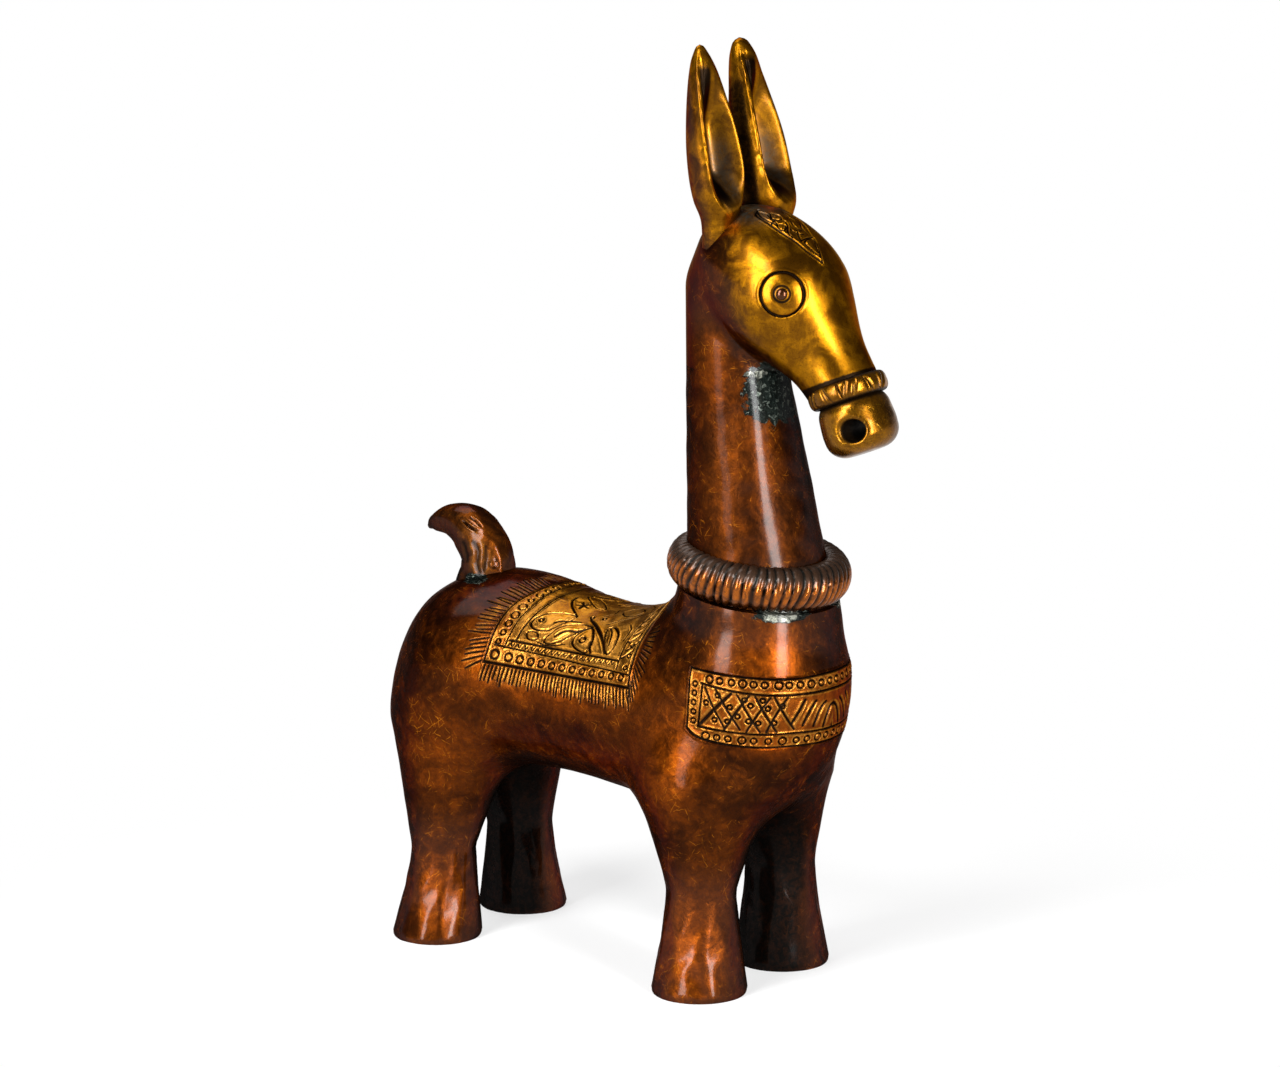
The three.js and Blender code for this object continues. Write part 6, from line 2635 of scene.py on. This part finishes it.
# Name, degrees to the right of the camera, metres away and up, width and height in metres, watts
LAMPS = (
    ("softbox_left", (-42.0, 1.3, 0.55), (0.38, 0.90), 23.0),
    ("softbox_high", (-42.0, 1.0, 1.15), (0.45, 0.32), 13.0),
    ("strip_right", (31.5, 1.3, 0.46), (0.27, 0.80), 25.0),
    ("softbox_behind", (-145.0, 0.75, 1.35), (1.2, 0.8), 10.0),
)


@dataclass
class Studio:
    """Camera, floor, room light and lamps."""

    castings: Castings
    azimuth: float = 37.41
    elevation: float = 12.21
    distance: float = 1.8926
    focal: float = 5500.0
    image_width: float = 1280.0
    sensor: float = 36.0
    target_x: float = 13.7  # millimetres from the middle of the feet
    target_z: float = 0.15
    room: float = 0.10  # light from overhead

    def camera(self) -> None:
        """Place the camera at the photograph's viewing angle."""
        turn, rise = math.radians(self.azimuth), math.radians(self.elevation)
        back = Vector((math.sin(turn) * math.cos(rise), -math.cos(turn) * math.cos(rise), math.sin(rise)))
        target = Vector(((self.target_x + self.castings.shift) * MM, 0.0, self.target_z))
        data = bpy.data.cameras.new("camera")
        data.sensor_width = self.sensor
        data.lens = self.focal / self.image_width * self.sensor
        data.clip_end = 20.0
        camera = bpy.data.objects.new("camera", data)
        camera.location = target + back * self.distance
        camera.rotation_euler = back.to_track_quat("Z", "Y").to_euler()
        bpy.context.scene.collection.objects.link(camera)
        bpy.context.scene.camera = camera

    def floor(self) -> None:
        """Lay a wide white floor; near the feet it turns partly diffuse, which lets the object's shadow show and greys
        the floor round it as painted shade.
        """
        bpy.ops.object.select_all(action="DESELECT")
        bpy.ops.mesh.primitive_plane_add(size=40.0, location=(0, 0, 0))
        floor = Bench.settled("floor")
        with editing():
            bpy.ops.mesh.subdivide(number_cuts=5)
        material = bpy.data.materials.new("studio_white")
        material.use_nodes = True
        graph = Graph(material.node_tree)
        shader = material.node_tree.nodes["Principled BSDF"]
        graph.fill(shader, Base_Color=(0.9, 0.9, 0.9), Roughness=0.9, Specular_IOR_Level=0.0)
        glow = graph.fill(graph.add("Emission"), Strength=1.0)
        seen = graph.add("LightPath").outputs
        shown = graph.most(graph.most(seen["Is Camera Ray"], seen["Is Glossy Ray"]), seen["Is Transmission Ray"])
        reach = graph.vector("LENGTH", graph.add("TexCoord").outputs["Object"]).outputs["Value"]
        # painted shade: near the object less of the floor glows white, so the floor greys round the feet
        share = graph.times(shown, graph.fade(reach, 0.085, 0.26, 0.66, 1.0))
        mix = graph.add("MixShader")
        for socket, value in zip(mix.inputs, (share, shader.outputs[0], glow.outputs[0])):
            graph.feed(socket, value)
        graph.fill(material.node_tree.nodes["Material Output"], Surface=mix.outputs[0])
        floor.data.materials.append(material)

    def world(self) -> None:
        """Light the room softly: pale round the horizon, dim overhead."""
        world = bpy.data.worlds.new("studio")
        bpy.context.scene.world = world
        world.use_nodes = True
        graph = Graph(world.node_tree)
        way = graph.fill(graph.add("SeparateXYZ"), Vector=graph.add("TexCoord").outputs["Generated"])
        light = graph.fade(way.outputs["Z"], 0.02, 0.14, 1.0, self.room)
        graph.fill(world.node_tree.nodes["Background"], Color=(1.0, 1.0, 1.0), Strength=light)

    def lamp(self, name: str, at: tuple[float, float, float], size: tuple[float, float], power: float) -> None:
        """Hang a softbox that faces the object.

        Args:
            name: The lamp's name.
            at: Its place in metres.
            size: Width and height in metres.
            power: Watts.
        """
        data = bpy.data.lights.new(name, "AREA")
        data.shape = "RECTANGLE"
        data.size, data.size_y = size
        data.energy = power
        lamp = bpy.data.objects.new(name, data)
        lamp.location = at
        aim = Vector(at) - Vector((0, 0, self.target_z))
        lamp.rotation_euler = aim.to_track_quat("Z", "Y").to_euler()
        bpy.context.scene.collection.objects.link(lamp)

    def build(self) -> None:
        """Set up the studio."""
        scene = bpy.context.scene
        scene.view_settings.view_transform = "Standard"
        self.camera()
        self.floor()
        self.world()
        for name, place, size, power in LAMPS:
            self.lamp(name, self.around(*place), size, power)

    def around(self, turn: float, distance: float, height: float) -> tuple[float, float, float]:
        """A place round the object.

        Args:
            turn: Degrees to the right of the camera.
            distance: Metres from the object.
            height: Metres above the floor.

        Returns:
            The place in metres.
        """
        angle = math.radians(self.azimuth + turn)
        return (math.sin(angle) * distance, -math.cos(angle) * distance, height)


def main() -> None:
    """Model the figurine, dress it and set up the studio."""
    logging.basicConfig(level=logging.INFO, format="%(message)s")
    castings = Castings()
    bench = Bench(castings.shift)
    effects = Effects.build()
    patina = Patina("patina", effects, castings.shift).material()
    gold = {"gilt": (0.34, 0.136, 0.003), "gilt_deep": (0.13, 0.045, 0.002), "gold_sheen": 0.31}
    gold.update({"rim": (0.60, 0.36, 0.08), "rough_hands": 0.22})
    head = Patina("golden_patina", effects, castings.shift, **gold).material()
    brass = Brass("burnished_brass", effects, castings.shift).material()
    copper = Rubbed("rubbed_copper", effects, castings.shift).material()
    worn = Brass("worn_brass", effects, castings.shift, bright=(0.35, 0.17, 0.03), deep=(0.14, 0.06, 0.01)).material()
    bead = Rubbed("copper_bead", effects, castings.shift, ridge=(0.42, 0.15, 0.05), roughness=0.25).material()
    for piece in TrunkAndLegs(castings, bench).build():
        dress(piece, patina)
    dress(Neck(castings, bench).build(), patina)
    dress(Tail(bench).build(), patina)
    dress(Collar(castings, bench).build(), copper)
    for piece in Head(castings, bench).build():
        is_bead = piece.name.endswith("bead")
        finish = brass if piece.name in ("noseband_cast", "muzzle_cast") else head
        dress(piece, bead if is_bead else finish)
    right = ((55, 255, 4.8), (55.6, 264, 5.8), (55.7, 271, 8.3), (55, 279.5, 9.4))
    right += ((53, 291, 8.8), (50.5, 305, 6.6), (48.6, 316.5, 3.9), (47.7, 322.7, 1.1))
    left = ((56.2, 255, 6), (58.4, 264, 8.6), (58.2, 271, 10.7), (56.4, 279.5, 10.8))
    left += ((54, 291, 9.8), (50.8, 305, 7.1), (47.9, 316.5, 4.6), (46.5, 322.7, 2))
    near = Ear(bench, -1, "right", right, nicks=((0.51, 0.55), (0.435, 0.25)))
    nicks = ((0.552, 0.6), (0.43, 0.45), (0.365, 0.35), (0.80, 0.3))
    far = Ear(bench, 1, "left", left, nicks=nicks, knobs=((0.94, -52.0, 0.5), (0.885, -66.0, 0.6)))
    for ear in (near, far):
        dress(ear.build(), head)
    for name in ("front_left", "front_right", "rear_left", "rear_right"):
        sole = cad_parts[f"{name}_sole"]
        for slot in sole.material_slots:
            slot.material = worn
    Studio(castings).build()


if __name__ == "__main__":
    main()
